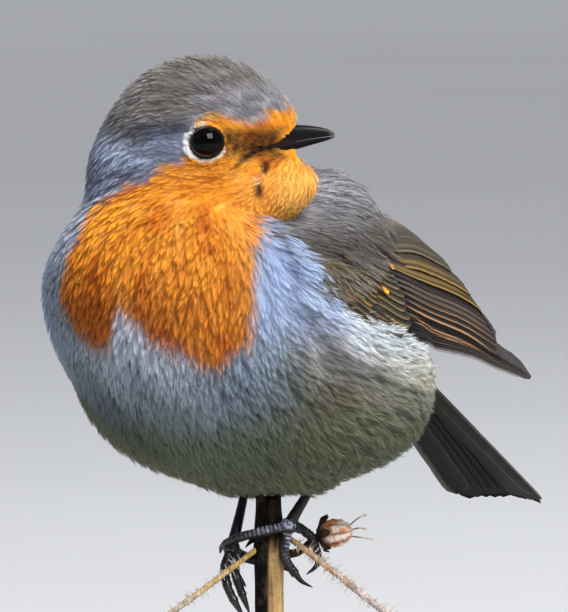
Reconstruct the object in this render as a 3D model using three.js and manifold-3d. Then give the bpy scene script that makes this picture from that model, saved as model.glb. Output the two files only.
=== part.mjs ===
// A life-size display model of a european robin (Erithacus rubecula), plumage fluffed out, perched astride
// the top of a dead stem, with its head turned over its left shoulder. The stem's cut length is carried by a
// short rod on a flat round base.
//
// Millimetres, +Z up. The bird's trunk faces -Y, its left side is +X. The origin is the centre of the
// base's underside, and the stem stands over it.
import * as THREE from "three";
import { mergeVertices } from "three/addons/utils/BufferGeometryUtils.js";
import Module from "manifold-3d";

const wasm = await Module();
wasm.setup();

// ---------------------------------------------------------------- driving dimensions
const GAP = 0.3; // clearance between neighbouring solids
const BASE_R = 40; // display base, radius
const BASE_H = 9; // display base, height
const ROD_R = 2.0; // rod radius
const ROD_TOP = 34; // the rod's top, above the floor
const STEM_R = 2.4; // main stem radius
const STEM_TOP = 75.4; // the stem's broken top, under the belly
const TRUNK_AT = new THREE.Vector3(-3.8, -3.7, 105); // centre of the trunk
const HEAD_AT = new THREE.Vector3(-0.3, -10.8, 28.8); // the head's centre, from the trunk's centre
const HEAD_YAW = 121; // degrees turned to the bird's left
const HEAD_PITCH = 5; // degrees bill up
const EYE_R = 3.0; // eyeball radius
const EYE = { ahead: 2.4, up: 1.7, shown: 2.55 }; // the eye's place in the head's frame, and the radius that shows
const WING_LENGTH = 72; // carpal joint to the longest primary's tip
const TAIL_LENGTH = 57;
const TOE_R = 0.95;
const TARSUS_R = 0.95;

const rad = THREE.MathUtils.degToRad;
const V = (x, y, z) => new THREE.Vector3(x, y, z);
const at = (x, y, z) => V(x, y, z).add(TRUNK_AT); // a place given from the trunk's centre

// ---------------------------------------------------------------- the head's frame
const headAhead = V(
  Math.sin(rad(HEAD_YAW)) * Math.cos(rad(HEAD_PITCH)),
  -Math.cos(rad(HEAD_YAW)) * Math.cos(rad(HEAD_PITCH)),
  Math.sin(rad(HEAD_PITCH)),
);
const headRight = new THREE.Vector3().crossVectors(headAhead, V(0, 0, 1)).normalize();
const headUp = new THREE.Vector3().crossVectors(headRight, headAhead).normalize();
const headCentre = HEAD_AT.clone().add(TRUNK_AT);
// a place in the head's frame: ahead, to its right, up
const inHead = (a, r, u) =>
  headCentre.clone().addScaledVector(headAhead, a).addScaledVector(headRight, r).addScaledVector(headUp, u);

// ---------------------------------------------------------------- the body's form
// Ellipsoids that melt into each other. Each has a centre, three half-sizes and the axes that they lie on.
const bodyAxes = (pitch, yaw = 0) => {
  const m = new THREE.Matrix4().makeRotationZ(rad(yaw)).multiply(new THREE.Matrix4().makeRotationX(rad(-pitch)));
  const x = V(), y = V(), z = V();
  m.extractBasis(x, y, z);
  return [x, y, z];
};
const headAxes = (pitch = 0) => {
  const a = headAhead.clone().applyAxisAngle(headRight, rad(pitch));
  return [headRight, a, new THREE.Vector3().crossVectors(headRight, a)];
};
const TRUNK_FORMS = [
  { name: "belly", c: at(-0.2, 0.3, -5.5), r: [28.2, 32.9, 21.8], e: bodyAxes(24), k: 0 },
  { name: "breast", c: at(-1.5, -15.4, 4.3), r: [22.9, 20.8, 16.6], e: bodyAxes(30), k: 7 },
  { name: "shoulders", c: at(-0.4, 6.8, 10.6), r: [21.1, 23.2, 12.0], e: bodyAxes(-25), k: 8 },
  { name: "flank_left", c: at(16.9, 5.8, -9.6), r: [13.8, 18.5, 16.8], e: bodyAxes(14), k: 6 },
  { name: "flank_right", c: at(-16.9, 5.8, -9.6), r: [13.8, 18.5, 16.8], e: bodyAxes(14), k: 6 },
  { name: "rump", c: at(0.4, 27, -3.5), r: [12.5, 17, 9.5], e: bodyAxes(-28), k: 8 },
  { name: "vent", c: at(0.6, 28, -12), r: [10, 15, 8], e: bodyAxes(-22), k: 7 },
  { name: "lower_belly", c: at(0, 4.1, -16.6), r: [16.4, 16.1, 9.6], e: bodyAxes(10), k: 6 },
  { name: "neck", c: at(-4.5, -11.8, 16.8), r: [14.5, 14.3, 11.6], e: bodyAxes(0), k: 7 },
];
const HEAD_FORMS = [
  { name: "skull", c: inHead(1.8, 0, 1.2), r: [8.6, 15.0, 14.4], e: headAxes(-6), k: 0 },
  { name: "temples", c: inHead(-1.4, 0, 0.6), r: [12.5, 12.4, 12.9], e: headAxes(-6), k: 3 },
  { name: "crown", c: inHead(-1.3, 0, 3.8), r: [10.6, 11.8, 9.1], e: headAxes(-8), k: 4 },
  { name: "nape", c: inHead(-9.5, 0, -4.9), r: [10.0, 9.7, 10.9], e: headAxes(0), k: 6 },
  { name: "face", c: inHead(8.7, 0, -0.3), r: [5.0, 6.2, 8.3], e: headAxes(-20), k: 4 },
  { name: "cheek_right", c: inHead(2.3, 5.7, -6.3), r: [6.4, 8.9, 6.7], e: headAxes(10), k: 4 },
  { name: "cheek_left", c: inHead(2.3, -5.7, -6.3), r: [6.4, 8.9, 6.7], e: headAxes(10), k: 4 },
  { name: "throat", c: inHead(12.5, 0, -8.3), r: [6.6, 7.2, 4.6], e: headAxes(20), k: 3.5 },
];
const q = V();
function ellipsoid(f, p) {
  q.subVectors(p, f.c);
  const a = q.dot(f.e[0]), b = q.dot(f.e[1]), c = q.dot(f.e[2]);
  const [ra, rb, rc] = f.r;
  const k0 = Math.hypot(a / ra, b / rb, c / rc);
  const k1 = Math.hypot(a / (ra * ra), b / (rb * rb), c / (rc * rc));
  return k1 < 1e-9 ? -Math.min(ra, rb, rc) : (k0 * (k0 - 1)) / k1;
}
function melt(d, e, k) {
  const h = k > 0 ? Math.max(k - Math.abs(d - e), 0) / k : 0;
  return Math.min(d, e) - h * h * k * 0.25;
}
const formOf = (forms) => (p) => {
  let d = ellipsoid(forms[0], p);
  for (let i = 1; i < forms.length; i++) d = melt(d, ellipsoid(forms[i], p), forms[i].k);
  return d;
};
// Signed distances, negative inside.
const trunkForm = formOf(TRUNK_FORMS), headForm = formOf(HEAD_FORMS);

// ---------------------------------------------------------------- helpers for solids
function solidOf(geometry) {
  const g = geometry.clone();
  for (const name of Object.keys(g.attributes)) if (name !== "position") g.deleteAttribute(name);
  const m = mergeVertices(g, 1e-4);
  const made = new wasm.Manifold(
    new wasm.Mesh({
      numProp: 3,
      vertProperties: new Float32Array(m.attributes.position.array),
      triVerts: new Uint32Array(m.index.array),
    }),
  );
  return made;
}
function geometryOf(solid) {
  const m = solid.getMesh(), n = m.numProp, v = new Float32Array(m.numVert * 3);
  for (let i = 0; i < m.numVert; i++) v.set(m.vertProperties.subarray(i * n, i * n + 3), i * 3);
  const g = new THREE.BufferGeometry();
  g.setAttribute("position", new THREE.BufferAttribute(v, 3));
  g.setIndex(new THREE.BufferAttribute(new Uint32Array(m.triVerts), 1));
  g.computeVertexNormals();
  return g;
}
const largest = (solid) =>
  solid.decompose().reduce((a, b) => (b.volume() > a.volume() ? b : a));
// A sphere whose every vertex is pushed out to where a form is at that level.
function cast(centre, detail, level, form) {
  const g = new THREE.IcosahedronGeometry(1, detail);
  const p = g.attributes.position, d = V(), s = V();
  for (let i = 0; i < p.count; i++) {
    d.fromBufferAttribute(p, i).normalize();
    d.set(Math.round(d.x * 1e5) / 1e5, Math.round(d.y * 1e5) / 1e5, Math.round(d.z * 1e5) / 1e5);
    let lo = 0, hi = 0;
    while (form(s.copy(centre).addScaledVector(d, hi)) < level && hi < 90) {
      lo = hi;
      hi += 0.8;
    }
    for (let n = 0; n < 22; n++) {
      const mid = (lo + hi) / 2;
      if (form(s.copy(centre).addScaledVector(d, mid)) < level) lo = mid;
      else hi = mid;
    }
    s.copy(centre).addScaledVector(d, (lo + hi) / 2);
    p.setXYZ(i, s.x, s.y, s.z);
  }
  return solidOf(g);
}
// A cylinder bent along a curve. section(t, angle) gives the radius, or [across, up] half-sizes.
function sweep(curve, section, radial, steps, up = V(0, 0, 1)) {
  const g = new THREE.CylinderGeometry(1, 1, 1, radial, steps);
  const p = g.attributes.position, c = V(), t = V(), a = V(), b = V();
  for (let i = 0; i < p.count; i++) {
    const u = THREE.MathUtils.clamp(0.5 - p.getY(i), 0, 1), x = p.getX(i), z = p.getZ(i);
    curve.getPointAt(u, c);
    curve.getTangentAt(u, t);
    a.crossVectors(t, up).normalize();
    b.crossVectors(a, t).normalize();
    const s = section(u), w = Array.isArray(s) ? s[0] : s, h = Array.isArray(s) ? s[1] : s;
    c.addScaledVector(a, x * w).addScaledVector(b, z * h);
    p.setXYZ(i, c.x, c.y, c.z);
  }
  const made = solidOf(g);
  if (made.volume() > 0) return made;
  // the frame was left-handed: turn every face round
  const f = g.index.array;
  for (let i = 0; i < f.length; i += 3) [f[i + 1], f[i + 2]] = [f[i + 2], f[i + 1]];
  return solidOf(g);
}
const curveOf = (...points) => new THREE.CatmullRomCurve3(points, false, "centripetal");
// A half-space as a big block: everything on the side that normal points to, from the point on.
function halfSpace(point, normal, offset = 0) {
  const g = new THREE.BoxGeometry(400, 400, 400);
  g.translate(0, 0, 200 + offset);
  g.applyQuaternion(new THREE.Quaternion().setFromUnitVectors(V(0, 0, 1), normal.clone().normalize()));
  g.translate(point.x, point.y, point.z);
  return solidOf(g);
}
const ball = (c, r, w = 24, h = 16, scale = V(1, 1, 1)) => {
  const g = new THREE.SphereGeometry(r, w, h);
  g.scale(scale.x, scale.y, scale.z);
  g.translate(c.x, c.y, c.z);
  return solidOf(g);
};

// ---------------------------------------------------------------- materials
const material = (hex, roughness, metalness = 0) =>
  new THREE.MeshStandardMaterial({ color: new THREE.Color(hex), roughness, metalness });
const MATERIALS = {
  olive: material(0x6a6152, 0.85),
  orange: material(0xd0700f, 0.85),
  belly: material(0xb9b6a6, 0.9),
  grey: material(0x8b93a3, 0.88),
  flight: material(0x4a4034, 0.7),
  tail: material(0x544a3d, 0.7),
  bill: material(0x17161a, 0.35),
  eye: material(0x060505, 0.05),
  leg: material(0x2d2420, 0.5),
  claw: material(0x1c1817, 0.35),
  stem: material(0xb08a4e, 0.8),
  husk: material(0x9c6a3f, 0.85),
  base: material(0x4b3626, 0.5),
  rod: material(0x9c8a55, 0.3, 1),
};

const robin = new THREE.Group();
robin.name = "robin";
function piece(name, solid, slot) {
  const mesh = new THREE.Mesh(geometryOf(largest(solid)), MATERIALS[slot]);
  mesh.name = name;
  robin.add(mesh);
}

// ---------------------------------------------------------------- wings
// The folded wing lies on a curved sheet: a runs from the wrist to the tip, b from its lower edge up over
// the back, both in mm. side is 1 for the left wing and -1 for the right.
const wingEdge = curveOf(
  at(25.6, -12.5, 6.0), at(29.6, 2, -1.6), at(27.6, 17, -3.8), at(23.4, 36, -6.6), at(18.5, 59.6, -12.4),
);
const wingUp = new THREE.QuadraticBezierCurve3(V(-0.4, 0.32, 0.86), V(-0.44, 0.06, 0.9), V(-0.34, 0.06, 0.94)); // across the wing
const WING_CURL = new THREE.QuadraticBezierCurve(
  new THREE.Vector2(0, 27), new THREE.Vector2(0.5, 28), new THREE.Vector2(1, 60),
); // radius of the sheet's bend over the back
function wingPoint(side, a, b, out) {
  const t = THREE.MathUtils.clamp(a / WING_LENGTH, 0, 1);
  const c = wingEdge.getPointAt(t);
  const along = wingEdge.getPointAt(Math.min(1, t + 0.12)).sub(wingEdge.getPointAt(Math.max(0, t - 0.12))).normalize();
  c.addScaledVector(along, a - t * WING_LENGTH);
  const up = wingUp.getPoint(t).normalize();
  const n = new THREE.Vector3().crossVectors(along, up).normalize();
  if (n.x < 0) n.negate();
  const bend = WING_CURL.getPoint(t).y, turn = b / bend;
  c.addScaledVector(up, Math.sin(turn) * bend);
  c.addScaledVector(n, -(1 - Math.cos(turn)) * bend);
  const nn = n.clone().multiplyScalar(Math.cos(turn)).addScaledVector(up, Math.sin(turn));
  c.addScaledVector(nn, out);
  if (side < 0) c.x = 2 * TRUNK_AT.x - c.x;
  return c;
}
// A plate on that sheet: lower(a) and upper(a) are its edges, from a0 to a1; in and out its two faces.
function wingPlate(side, a0, a1, lower, upper, inner, outer, na, nb, grow = 0) {
  const g = new THREE.BoxGeometry(1, 1, 1, na, nb, grow ? 2 : 1);
  const p = g.attributes.position;
  for (let i = 0; i < p.count; i++) {
    const u = p.getX(i) + 0.5, v = p.getY(i) + 0.5, w = p.getZ(i) + 0.5;
    const ac = THREE.MathUtils.lerp(a0, a1, u);
    const a = ac + (u < 1e-6 ? -grow : u > 1 - 1e-6 ? grow : 0);
    const b0 = THREE.MathUtils.lerp(lower(ac), upper(ac), v), b = THREE.MathUtils.lerp(lower(ac) - grow, upper(ac) + grow, v);
    let high = outer(ac, v);
    while (trunkForm(wingPoint(side, ac, b0, high)) < 0.4 && high < 9) high += 0.1;
    const low = inner(ac, v) - grow;
    high += grow;
    const o = !grow ? (w < 0.5 ? low : high) : w < 0.25 ? low : w < 0.75 ? high : high + 9;
    const c = wingPoint(side, a, b, o);
    p.setXYZ(i, c.x, c.y, c.z);
  }
  let made = solidOf(g);
  if (made.volume() < 0) {
    const f = g.index.array;
    for (let i = 0; i < f.length; i += 3) [f[i + 1], f[i + 2]] = [f[i + 2], f[i + 1]];
    made = solidOf(g);
  }
  return made;
}
const smooth = THREE.MathUtils.smoothstep;
const COVERT_END = 33; // where the greater coverts end
const WING_PARTS = {
  coverts: {
    slot: "olive", from: 0, to: COVERT_END, na: 8, nb: 5,
    lower: (a) => 1.5 - 1.5 * smooth(a, 0, 12),
    upper: (a) => 7 + 16.5 * Math.sin(Math.min(1, a / 28) * 1.4),
    inner: (a, v) => -3.2 + 1.4 * smooth(a, 8, 30),
    outer: (a, v) => 0.6 + 1.7 * Math.sin(Math.PI * v) - 0.5 * smooth(a, 20, 33) + 3.4 * smooth(v, 0.55, 1) * smooth(a, 12, 24),
  },
  secondaries: {
    slot: "flight", from: COVERT_END + GAP, to: 60, na: 6, nb: 4,
    lower: (a) => 7.6 - 2.6 * smooth(a, 34, 59),
    upper: (a) => 23.6 - 16.8 * Math.pow((a - 33) / 26, 1.7),
    inner: (a, v) => -1.9 + 0.5 * smooth(a, 40, 58),
    outer: (a, v) => 0.2 + 1.1 * Math.sin(Math.PI * v) - 0.4 * smooth(a, 45, 59) + 3.2 * smooth(v, 0.5, 1) * (1 - smooth(a, 34, 52)),
  },
  primaries: {
    slot: "flight", from: COVERT_END + GAP, to: WING_LENGTH, na: 8, nb: 2,
    lower: (a) => 0.2 * smooth(a, 60, 72),
    upper: (a) => (a < 59.5 ? 7.2 - 2.6 * smooth(a, 34, 59) : 7.2 - 2.6 - 3.9 * smooth(a, 59.5, 72)),
    inner: (a, v) => -1.7 + 0.7 * smooth(a, 50, 72),
    outer: (a, v) => -0.1 + 0.5 * Math.sin(Math.PI * v),
  },
};
const wingSolids = [], wingCutters = [];
for (const [side, word] of [[1, "left"], [-1, "right"]]) {
  for (const [part, s] of Object.entries(WING_PARTS)) {
    const plate = (grow) => wingPlate(side, s.from, s.to, s.lower, s.upper, s.inner, s.outer, s.na, s.nb, grow);
    wingSolids.push(["wing_" + word + "_" + part, plate(0), s.slot]);
    wingCutters.push(plate(GAP * 1.2));
  }
}

// ---------------------------------------------------------------- tail
const tailRoot = at(0.5, 32.3, -1.6), tailTip = at(2.0, 78.4, -35.2);
const tailAlong = tailTip.clone().sub(tailRoot).normalize();
const tailSide = new THREE.Vector3().crossVectors(tailAlong, V(0, 0, 1)).normalize(); // to the bird's left
if (tailSide.x < 0) tailSide.negate();
const tailUp = new THREE.Vector3().crossVectors(tailSide, tailAlong).normalize();
if (tailUp.z < 0) tailUp.negate();
// The fan: narrow where it leaves the rump, wider at the tip, its two halves sloping like a low roof, with
// a shallow notch between rounded outer corners.
function tailFan(grow) {
  const g = new THREE.BoxGeometry(1, 1, 1, 4, 8, 1);
  const p = g.attributes.position;
  for (let i = 0; i < p.count; i++) {
    const u = p.getX(i) + 0.5, v = p.getY(i) * 2, w = p.getZ(i);
    const half = THREE.MathUtils.lerp(4.6, 9.6, Math.pow(u, 0.9)) + grow;
    const notch = 2.6 * Math.pow(1 - Math.abs(v), 1.3) + 2.0 * smooth(Math.abs(v), 0.72, 1);
    const along = THREE.MathUtils.lerp(-grow, TAIL_LENGTH + grow - notch, u);
    const thick = 1.5 - 0.7 * u;
    const roof = -1.2 * Math.abs(v) ** 1.4 * (0.6 + 0.6 * u);
    const c = tailRoot.clone().addScaledVector(tailAlong, along).addScaledVector(tailSide, v * half)
      .addScaledVector(tailUp, roof + w * (thick + 2 * grow));
    p.setXYZ(i, c.x, c.y, c.z);
  }
  const made = solidOf(g);
  if (made.volume() > 0) return made;
  const f = g.index.array;
  for (let i = 0; i < f.length; i += 3) [f[i + 1], f[i + 2]] = [f[i + 2], f[i + 1]];
  return solidOf(g);
}

// ---------------------------------------------------------------- bill and eyes
// Both mandibles share the line of the gape, from the corner of the mouth to the tip.
const gape = curveOf(
  inHead(7.2, 0, -1.6), inHead(10.5, 0, -0.45), inHead(14.4, 0, -0.1), inHead(18.6, 0, 0.3), inHead(22.8, 0, 0.5),
);
const billWidth = (t) => 3.3 * Math.pow(1 - t, 0.62) + 0.28;
function mandible(upper, grow) {
  const height = upper
    ? (t) => Math.min(2.75, 4.1 * Math.pow(Math.max(0, 1 - t), 0.5)) + 0.12
    : (t) => Math.min(1.5, 2.0 * Math.pow(Math.max(0, 1 - t), 0.55)) + 0.1;
  const g = new THREE.CylinderGeometry(1, 1, 1, 10, 7);
  const p = g.attributes.position, c = V(), along = V(), up = V();
  for (let i = 0; i < p.count; i++) {
    const u = 0.5 - p.getY(i), t = THREE.MathUtils.clamp(u, 0, 1);
    gape.getPointAt(t, c);
    gape.getTangentAt(t, along);
    up.crossVectors(headRight, along).normalize();
    if (up.dot(headUp) < 0) up.negate();
    const x = p.getX(i), z = p.getZ(i); // z up, 0 at the gape
    const h = height(t) * (upper ? 1 : 0.93) + 2 * grow;
    const lift = upper ? Math.max(0, z) : Math.min(0, z);
    c.addScaledVector(headRight, x * (billWidth(t) * (upper ? 1 : 0.94) * 0.5 + 0.35 + grow));
    c.addScaledVector(up, lift * h + (upper ? 0.16 - grow : -0.16 + grow));
    if (grow) c.addScaledVector(along, u < 0.5 ? -grow * (1 - 2 * u) : 0);
    p.setXYZ(i, c.x, c.y, c.z);
  }
  const made = solidOf(g);
  if (made.volume() > 0) return made;
  const f = g.index.array;
  for (let i = 0; i < f.length; i += 3) [f[i + 1], f[i + 2]] = [f[i + 2], f[i + 1]];
  return solidOf(g);
}
// Each eyeball stands out of the feathers as far as leaves a cap of the radius that shows.
const eyeAt = (side) => {
  let s = 6;
  while (headForm(inHead(EYE.ahead, side * s, EYE.up)) < 0) s += 0.02;
  return inHead(EYE.ahead, side * (s - Math.sqrt(EYE_R ** 2 - EYE.shown ** 2)), EYE.up);
};

// ---------------------------------------------------------------- head, neck, trunk, rump, thighs
// The head sits in a hollow of the neck. The neck, the trunk and the rump are parted by planes.
const headPlane = { at: at(0, -8, 16.4), n: V(0.1, -0.1, 1).normalize() };
const trunkPlane = { at: at(0, -8, 9.6), n: V(0.06, -0.16, 1).normalize() };
const rumpPlane = { at: at(0, 34, -8), n: V(0, 1, -0.42).normalize() };
const away = (v) => v.clone().negate();

let head = cast(headCentre, 7, 0, headForm).intersect(halfSpace(headPlane.at, headPlane.n, GAP / 2));
for (const side of [1, -1]) head = head.subtract(ball(eyeAt(side), EYE_R + GAP, 12, 8));
head = head.subtract(mandible(true, GAP)).subtract(mandible(false, GAP));
piece("head", head, "orange");
const headGrown = cast(headCentre, 4, GAP + 0.35, headForm).intersect(halfSpace(headPlane.at, headPlane.n, -GAP / 2));

const whole = cast(at(0, 1, -1), 8, 0, trunkForm);
let neck = whole.intersect(halfSpace(trunkPlane.at, trunkPlane.n, GAP / 2)).subtract(headGrown);
const below = halfSpace(trunkPlane.at, away(trunkPlane.n), GAP / 2);
const thigh = { left: at(11.8, 7.0, -23.5), right: at(-5.2, 6.0, -23.8) };
let trunk = whole.intersect(below).intersect(halfSpace(rumpPlane.at, away(rumpPlane.n), GAP / 2));
let rump = whole.intersect(halfSpace(rumpPlane.at, rumpPlane.n, GAP / 2)).subtract(tailFan(GAP));
for (const cutter of wingCutters) {
  trunk = trunk.subtract(cutter);
  rump = rump.subtract(cutter);
  neck = neck.subtract(cutter);
}
trunk = trunk.subtract(tailFan(GAP));
for (const [word, c] of Object.entries(thigh)) {
  piece("thigh_" + word, whole.intersect(ball(c, 7, 12, 8)), "belly");
  trunk = trunk.subtract(ball(c, 7 + GAP, 12, 8));
}
piece("neck", neck, "orange");
piece("trunk", trunk, "belly");
piece("rump", rump, "olive");
for (const [name, solid, slot] of wingSolids) piece(name, name.endsWith("coverts") ? solid.subtract(headGrown) : solid, slot);
piece("tail", tailFan(0), "tail");
piece("bill_upper", mandible(true, 0), "bill");
piece("bill_lower", mandible(false, 0), "bill");
piece("eye_right", ball(eyeAt(1), EYE_R, 12, 8), "eye");
piece("eye_left", ball(eyeAt(-1), EYE_R, 12, 8), "eye");

// ---------------------------------------------------------------- legs
// Each foot holds the stem between a hind toe and three front toes. Places are from the trunk's centre.
const LEGS = {
  left: {
    heel: at(13.6, 11.5, -18), palm: at(7.9, 3.2, -34.4),
    toes: {
      inner: [at(7.9, 3.0, -35.0), at(7.5, 2.9, -39.4), at(8.9, 4.0, -42.3)],
      middle: [at(7.4, 2.2, -34.7), at(4.2, -0.1, -35.4), at(0.8, -1.4, -36.4), at(-1.8, -1.0, -37.5)],
      outer: [at(7.7, 4.0, -34.2), at(6.3, 7.0, -33.9), at(2.9, 7.6, -35.2), at(0.4, 5.8, -36.6)],
      hind: [at(7.6, 4.6, -34.4), at(7.8, 7.4, -35.2), at(9.0, 8.8, -36.8), at(9.8, 9.3, -39.4)],
    },
    claws: {
      inner: [at(9.6, 4.8, -43.6), at(10.9, 6.2, -44.7)], middle: [at(-3.1, -0.4, -38.3), at(-4.0, 0.5, -39.4)],
      outer: [at(-0.4, 4.5, -37.4), at(-0.7, 3.1, -38.4)], hind: [at(9.8, 9.0, -41.2), at(8.5, 7.8, -42.8)],
    },
  },
  right: {
    heel: at(-2.9, 9.6, -18), palm: at(-2.3, 1.5, -38.6),
    toes: {
      inner: [at(-1.9, 1.2, -39.4), at(-1.0, 0.9, -43.0), at(0.1, 1.2, -46.2)],
      middle: [at(-2.3, 0.6, -39.4), at(-2.0, -0.9, -42.0), at(-1.0, -1.5, -44.7), at(0.2, -1.3, -47.0)],
      outer: [at(-2.0, 2.4, -39.3), at(-1.5, 5.2, -40.4), at(1.2, 6.7, -41.2), at(3.9, 7.5, -41.8)],
      hind: [at(-2.9, 2.1, -39.0), at(-4.8, 4.4, -40.6), at(-4.7, 6.0, -42.8)],
    },
    claws: {
      inner: [at(0.6, 1.7, -48.0), at(0.9, 2.2, -49.5)], middle: [at(1.0, -0.8, -48.6), at(1.4, 0.0, -49.8)],
      outer: [at(5.4, 7.4, -42.4), at(6.5, 6.8, -43.3)], hind: [at(-3.9, 6.6, -44.3), at(-2.9, 6.5, -45.4)],
    },
  },
};
for (const [word, leg] of Object.entries(LEGS)) {
  const toe = (points, grow) =>
    sweep(curveOf(...points), (t) => (TOE_R - 0.28 * t) * (1 + 0.07 * Math.cos(t * 18)) + grow, 5, 4, V(0.31, 0.17, 0.93));
  const foot = (grow) => {
    let made = ball(leg.palm, 1.5 + grow, 7, 5);
    for (const points of Object.values(leg.toes)) made = made.add(toe(points, grow));
    return made;
  };
  const full = foot(0), grown = foot(GAP);
  piece("foot_" + word, full, "leg");
  const tarsus = sweep(
    curveOf(leg.heel, leg.heel.clone().lerp(leg.palm, 0.5).add(V(0.15, 0.3, 0)), leg.palm),
    (t) => [TARSUS_R * (1.12 - 0.3 * Math.sin(Math.PI * Math.min(1, t * 1.1))), TARSUS_R * (1.25 - 0.3 * Math.sin(Math.PI * t))], 8, 5, V(0.9, 0.1, 0.3),
  );
  const grownBody = cast(at(0, 1, -1), 5, GAP + 0.3, trunkForm);
  piece("tarsus_" + word, tarsus.subtract(grown).subtract(grownBody), "leg");
  for (const [name, tips] of Object.entries(leg.claws)) {
    const points = leg.toes[name], end = points[points.length - 1];
    const claw = sweep(
      new THREE.CatmullRomCurve3([end, ...tips]), (t) => 0.62 * (1 - t) + 0.26, 5, 3, V(0.31, 0.17, 0.93),
    );
    piece("claw_" + word + "_" + name, claw.subtract(grown), "claw");
  }
}

// ---------------------------------------------------------------- the perch
// A dead stem: broken off at the top, a little knobbly, with a swollen node from which thin side
// stems and a dry seed husk grow.
const NODE_Z = 66.5; // height of the node's middle
const stemCurve = curveOf(V(0.5, 0.2, 30), V(0.2, 0.1, 46), V(0, 0, 60), V(0, 0, 68), V(-0.3, 0.2, STEM_TOP));
const stem = (grow) =>
  sweep(stemCurve, (t) => {
    const z = THREE.MathUtils.lerp(30, STEM_TOP, t);
    return STEM_R * (1 + 0.06 * Math.exp(-(((z - NODE_Z) / 3.5) ** 2)) - 0.12 * smooth(z, 70, 74)) + grow;
  }, 10, 7, V(1, 0, 0));
const rod = (grow) => {
  const g = new THREE.CylinderGeometry(ROD_R + grow, ROD_R + grow, ROD_TOP - BASE_H + 2 + grow, 16, 1);
  g.rotateX(Math.PI / 2);
  g.translate(0.5, 0.2, (ROD_TOP + BASE_H - 2 + grow) / 2 );
  return solidOf(g);
};
const stemGrown = stem(GAP);
piece("perch_stem", stem(0).subtract(rod(GAP)), "stem");
const twig = (points, r0, r1, grow = 0) => sweep(curveOf(...points), (t) => THREE.MathUtils.lerp(r0, r1, t) + grow, 6, 5, V(0.2, 0.9, 0.3));
const P = (x, y, z) => at(x, y, z);
const twigLeft = [P(2.7, 2.1, -38.2), P(1.1, -1.6, -40.6), P(-3.7, -6.9, -45.7), P(-7.3, -10.5, -49.3), P(-9.5, -12.5, -51.4)];
const twigRight = [P(4.7, 4.8, -35.4), P(7.8, 5.0, -37.0), P(13.1, 8.1, -41.6), P(20.8, 12.9, -48.8), P(23.4, 14.6, -51.4)];
const stalk = [P(4.4, 6.0, -39.4), P(6.2, 8.5, -39.2), P(8.3, 10.2, -37.2), P(9.2, 10.6, -36.3)];
piece("perch_twig_left", twig(twigLeft, 0.85, 0.85).subtract(stemGrown), "stem");
piece("perch_twig_right", twig(twigRight, 0.85, 0.88).subtract(stemGrown), "stem");
// the husk: a dry ribbed cup on a thin stalk
const huskAxis = P(13.1, 13.3, -35.6).sub(P(9.1, 10.3, -36.3)).normalize();
const husk = () => {
  const profile = [[0, 0], [1.2, 0.2], [2.1, 1.3], [2.4, 2.8], [2.1, 4.4], [1.3, 5.5], [0, 5.8]].map(([x, y]) => new THREE.Vector2(x, y));
  const g = new THREE.LatheGeometry(profile, 10);
  const m = mergeVertices(stripped(g), 1e-4);
  m.applyQuaternion(new THREE.Quaternion().setFromUnitVectors(V(0, 1, 0), huskAxis));
  m.translate(...P(9.0, 10.3, -36.4).toArray());
  const made = solidOf(m);
  if (made.volume() > 0) return made;
  const f = m.index.array;
  for (let i = 0; i < f.length; i += 3) [f[i + 1], f[i + 2]] = [f[i + 2], f[i + 1]];
  return solidOf(m);
};
function stripped(g) {
  const s = g.clone();
  s.deleteAttribute("normal");
  s.deleteAttribute("uv");
  return s;
}
piece("perch_husk", twig(stalk, 0.75, 0.6).add(husk()).subtract(stemGrown), "husk");

// ---------------------------------------------------------------- the stand
const basePlate = (() => {
  const profile = [[0, 0], [BASE_R, 0], [BASE_R, BASE_H - 2.2], [BASE_R - 0.7, BASE_H - 0.8], [BASE_R - 2.4, BASE_H], [0, BASE_H]]
    .map(([x, y]) => new THREE.Vector2(x, y));
  const g = stripped(new THREE.LatheGeometry(profile, 32));
  g.rotateX(Math.PI / 2);
  const m = mergeVertices(g, 1e-4);
  let made = solidOf(m);
  if (made.volume() < 0) {
    const f = m.index.array;
    for (let i = 0; i < f.length; i += 3) [f[i + 1], f[i + 2]] = [f[i + 2], f[i + 1]];
    made = solidOf(m);
  }
  return made;
})();
piece("stand_base", basePlate.subtract(rod(GAP)), "base");
piece("stand_rod", rod(0), "rod");

export default robin;
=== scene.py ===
"""A european robin on a cut stem: the looks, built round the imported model."""

import math

import bpy
import numpy as np
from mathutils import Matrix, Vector
from mathutils.kdtree import KDTree


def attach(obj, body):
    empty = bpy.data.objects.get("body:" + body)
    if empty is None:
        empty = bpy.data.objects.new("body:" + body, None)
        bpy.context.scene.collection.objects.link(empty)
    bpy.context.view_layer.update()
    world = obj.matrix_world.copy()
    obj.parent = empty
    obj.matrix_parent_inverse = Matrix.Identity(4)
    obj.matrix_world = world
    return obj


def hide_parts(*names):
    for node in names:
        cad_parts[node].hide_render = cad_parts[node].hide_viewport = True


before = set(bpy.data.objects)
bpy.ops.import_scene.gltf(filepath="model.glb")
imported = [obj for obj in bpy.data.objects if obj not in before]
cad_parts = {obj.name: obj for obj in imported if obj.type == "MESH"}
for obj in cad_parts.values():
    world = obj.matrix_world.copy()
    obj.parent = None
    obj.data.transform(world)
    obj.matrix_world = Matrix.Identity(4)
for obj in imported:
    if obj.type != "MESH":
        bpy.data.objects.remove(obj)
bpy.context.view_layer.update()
rng = np.random.default_rng(20240611)

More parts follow.
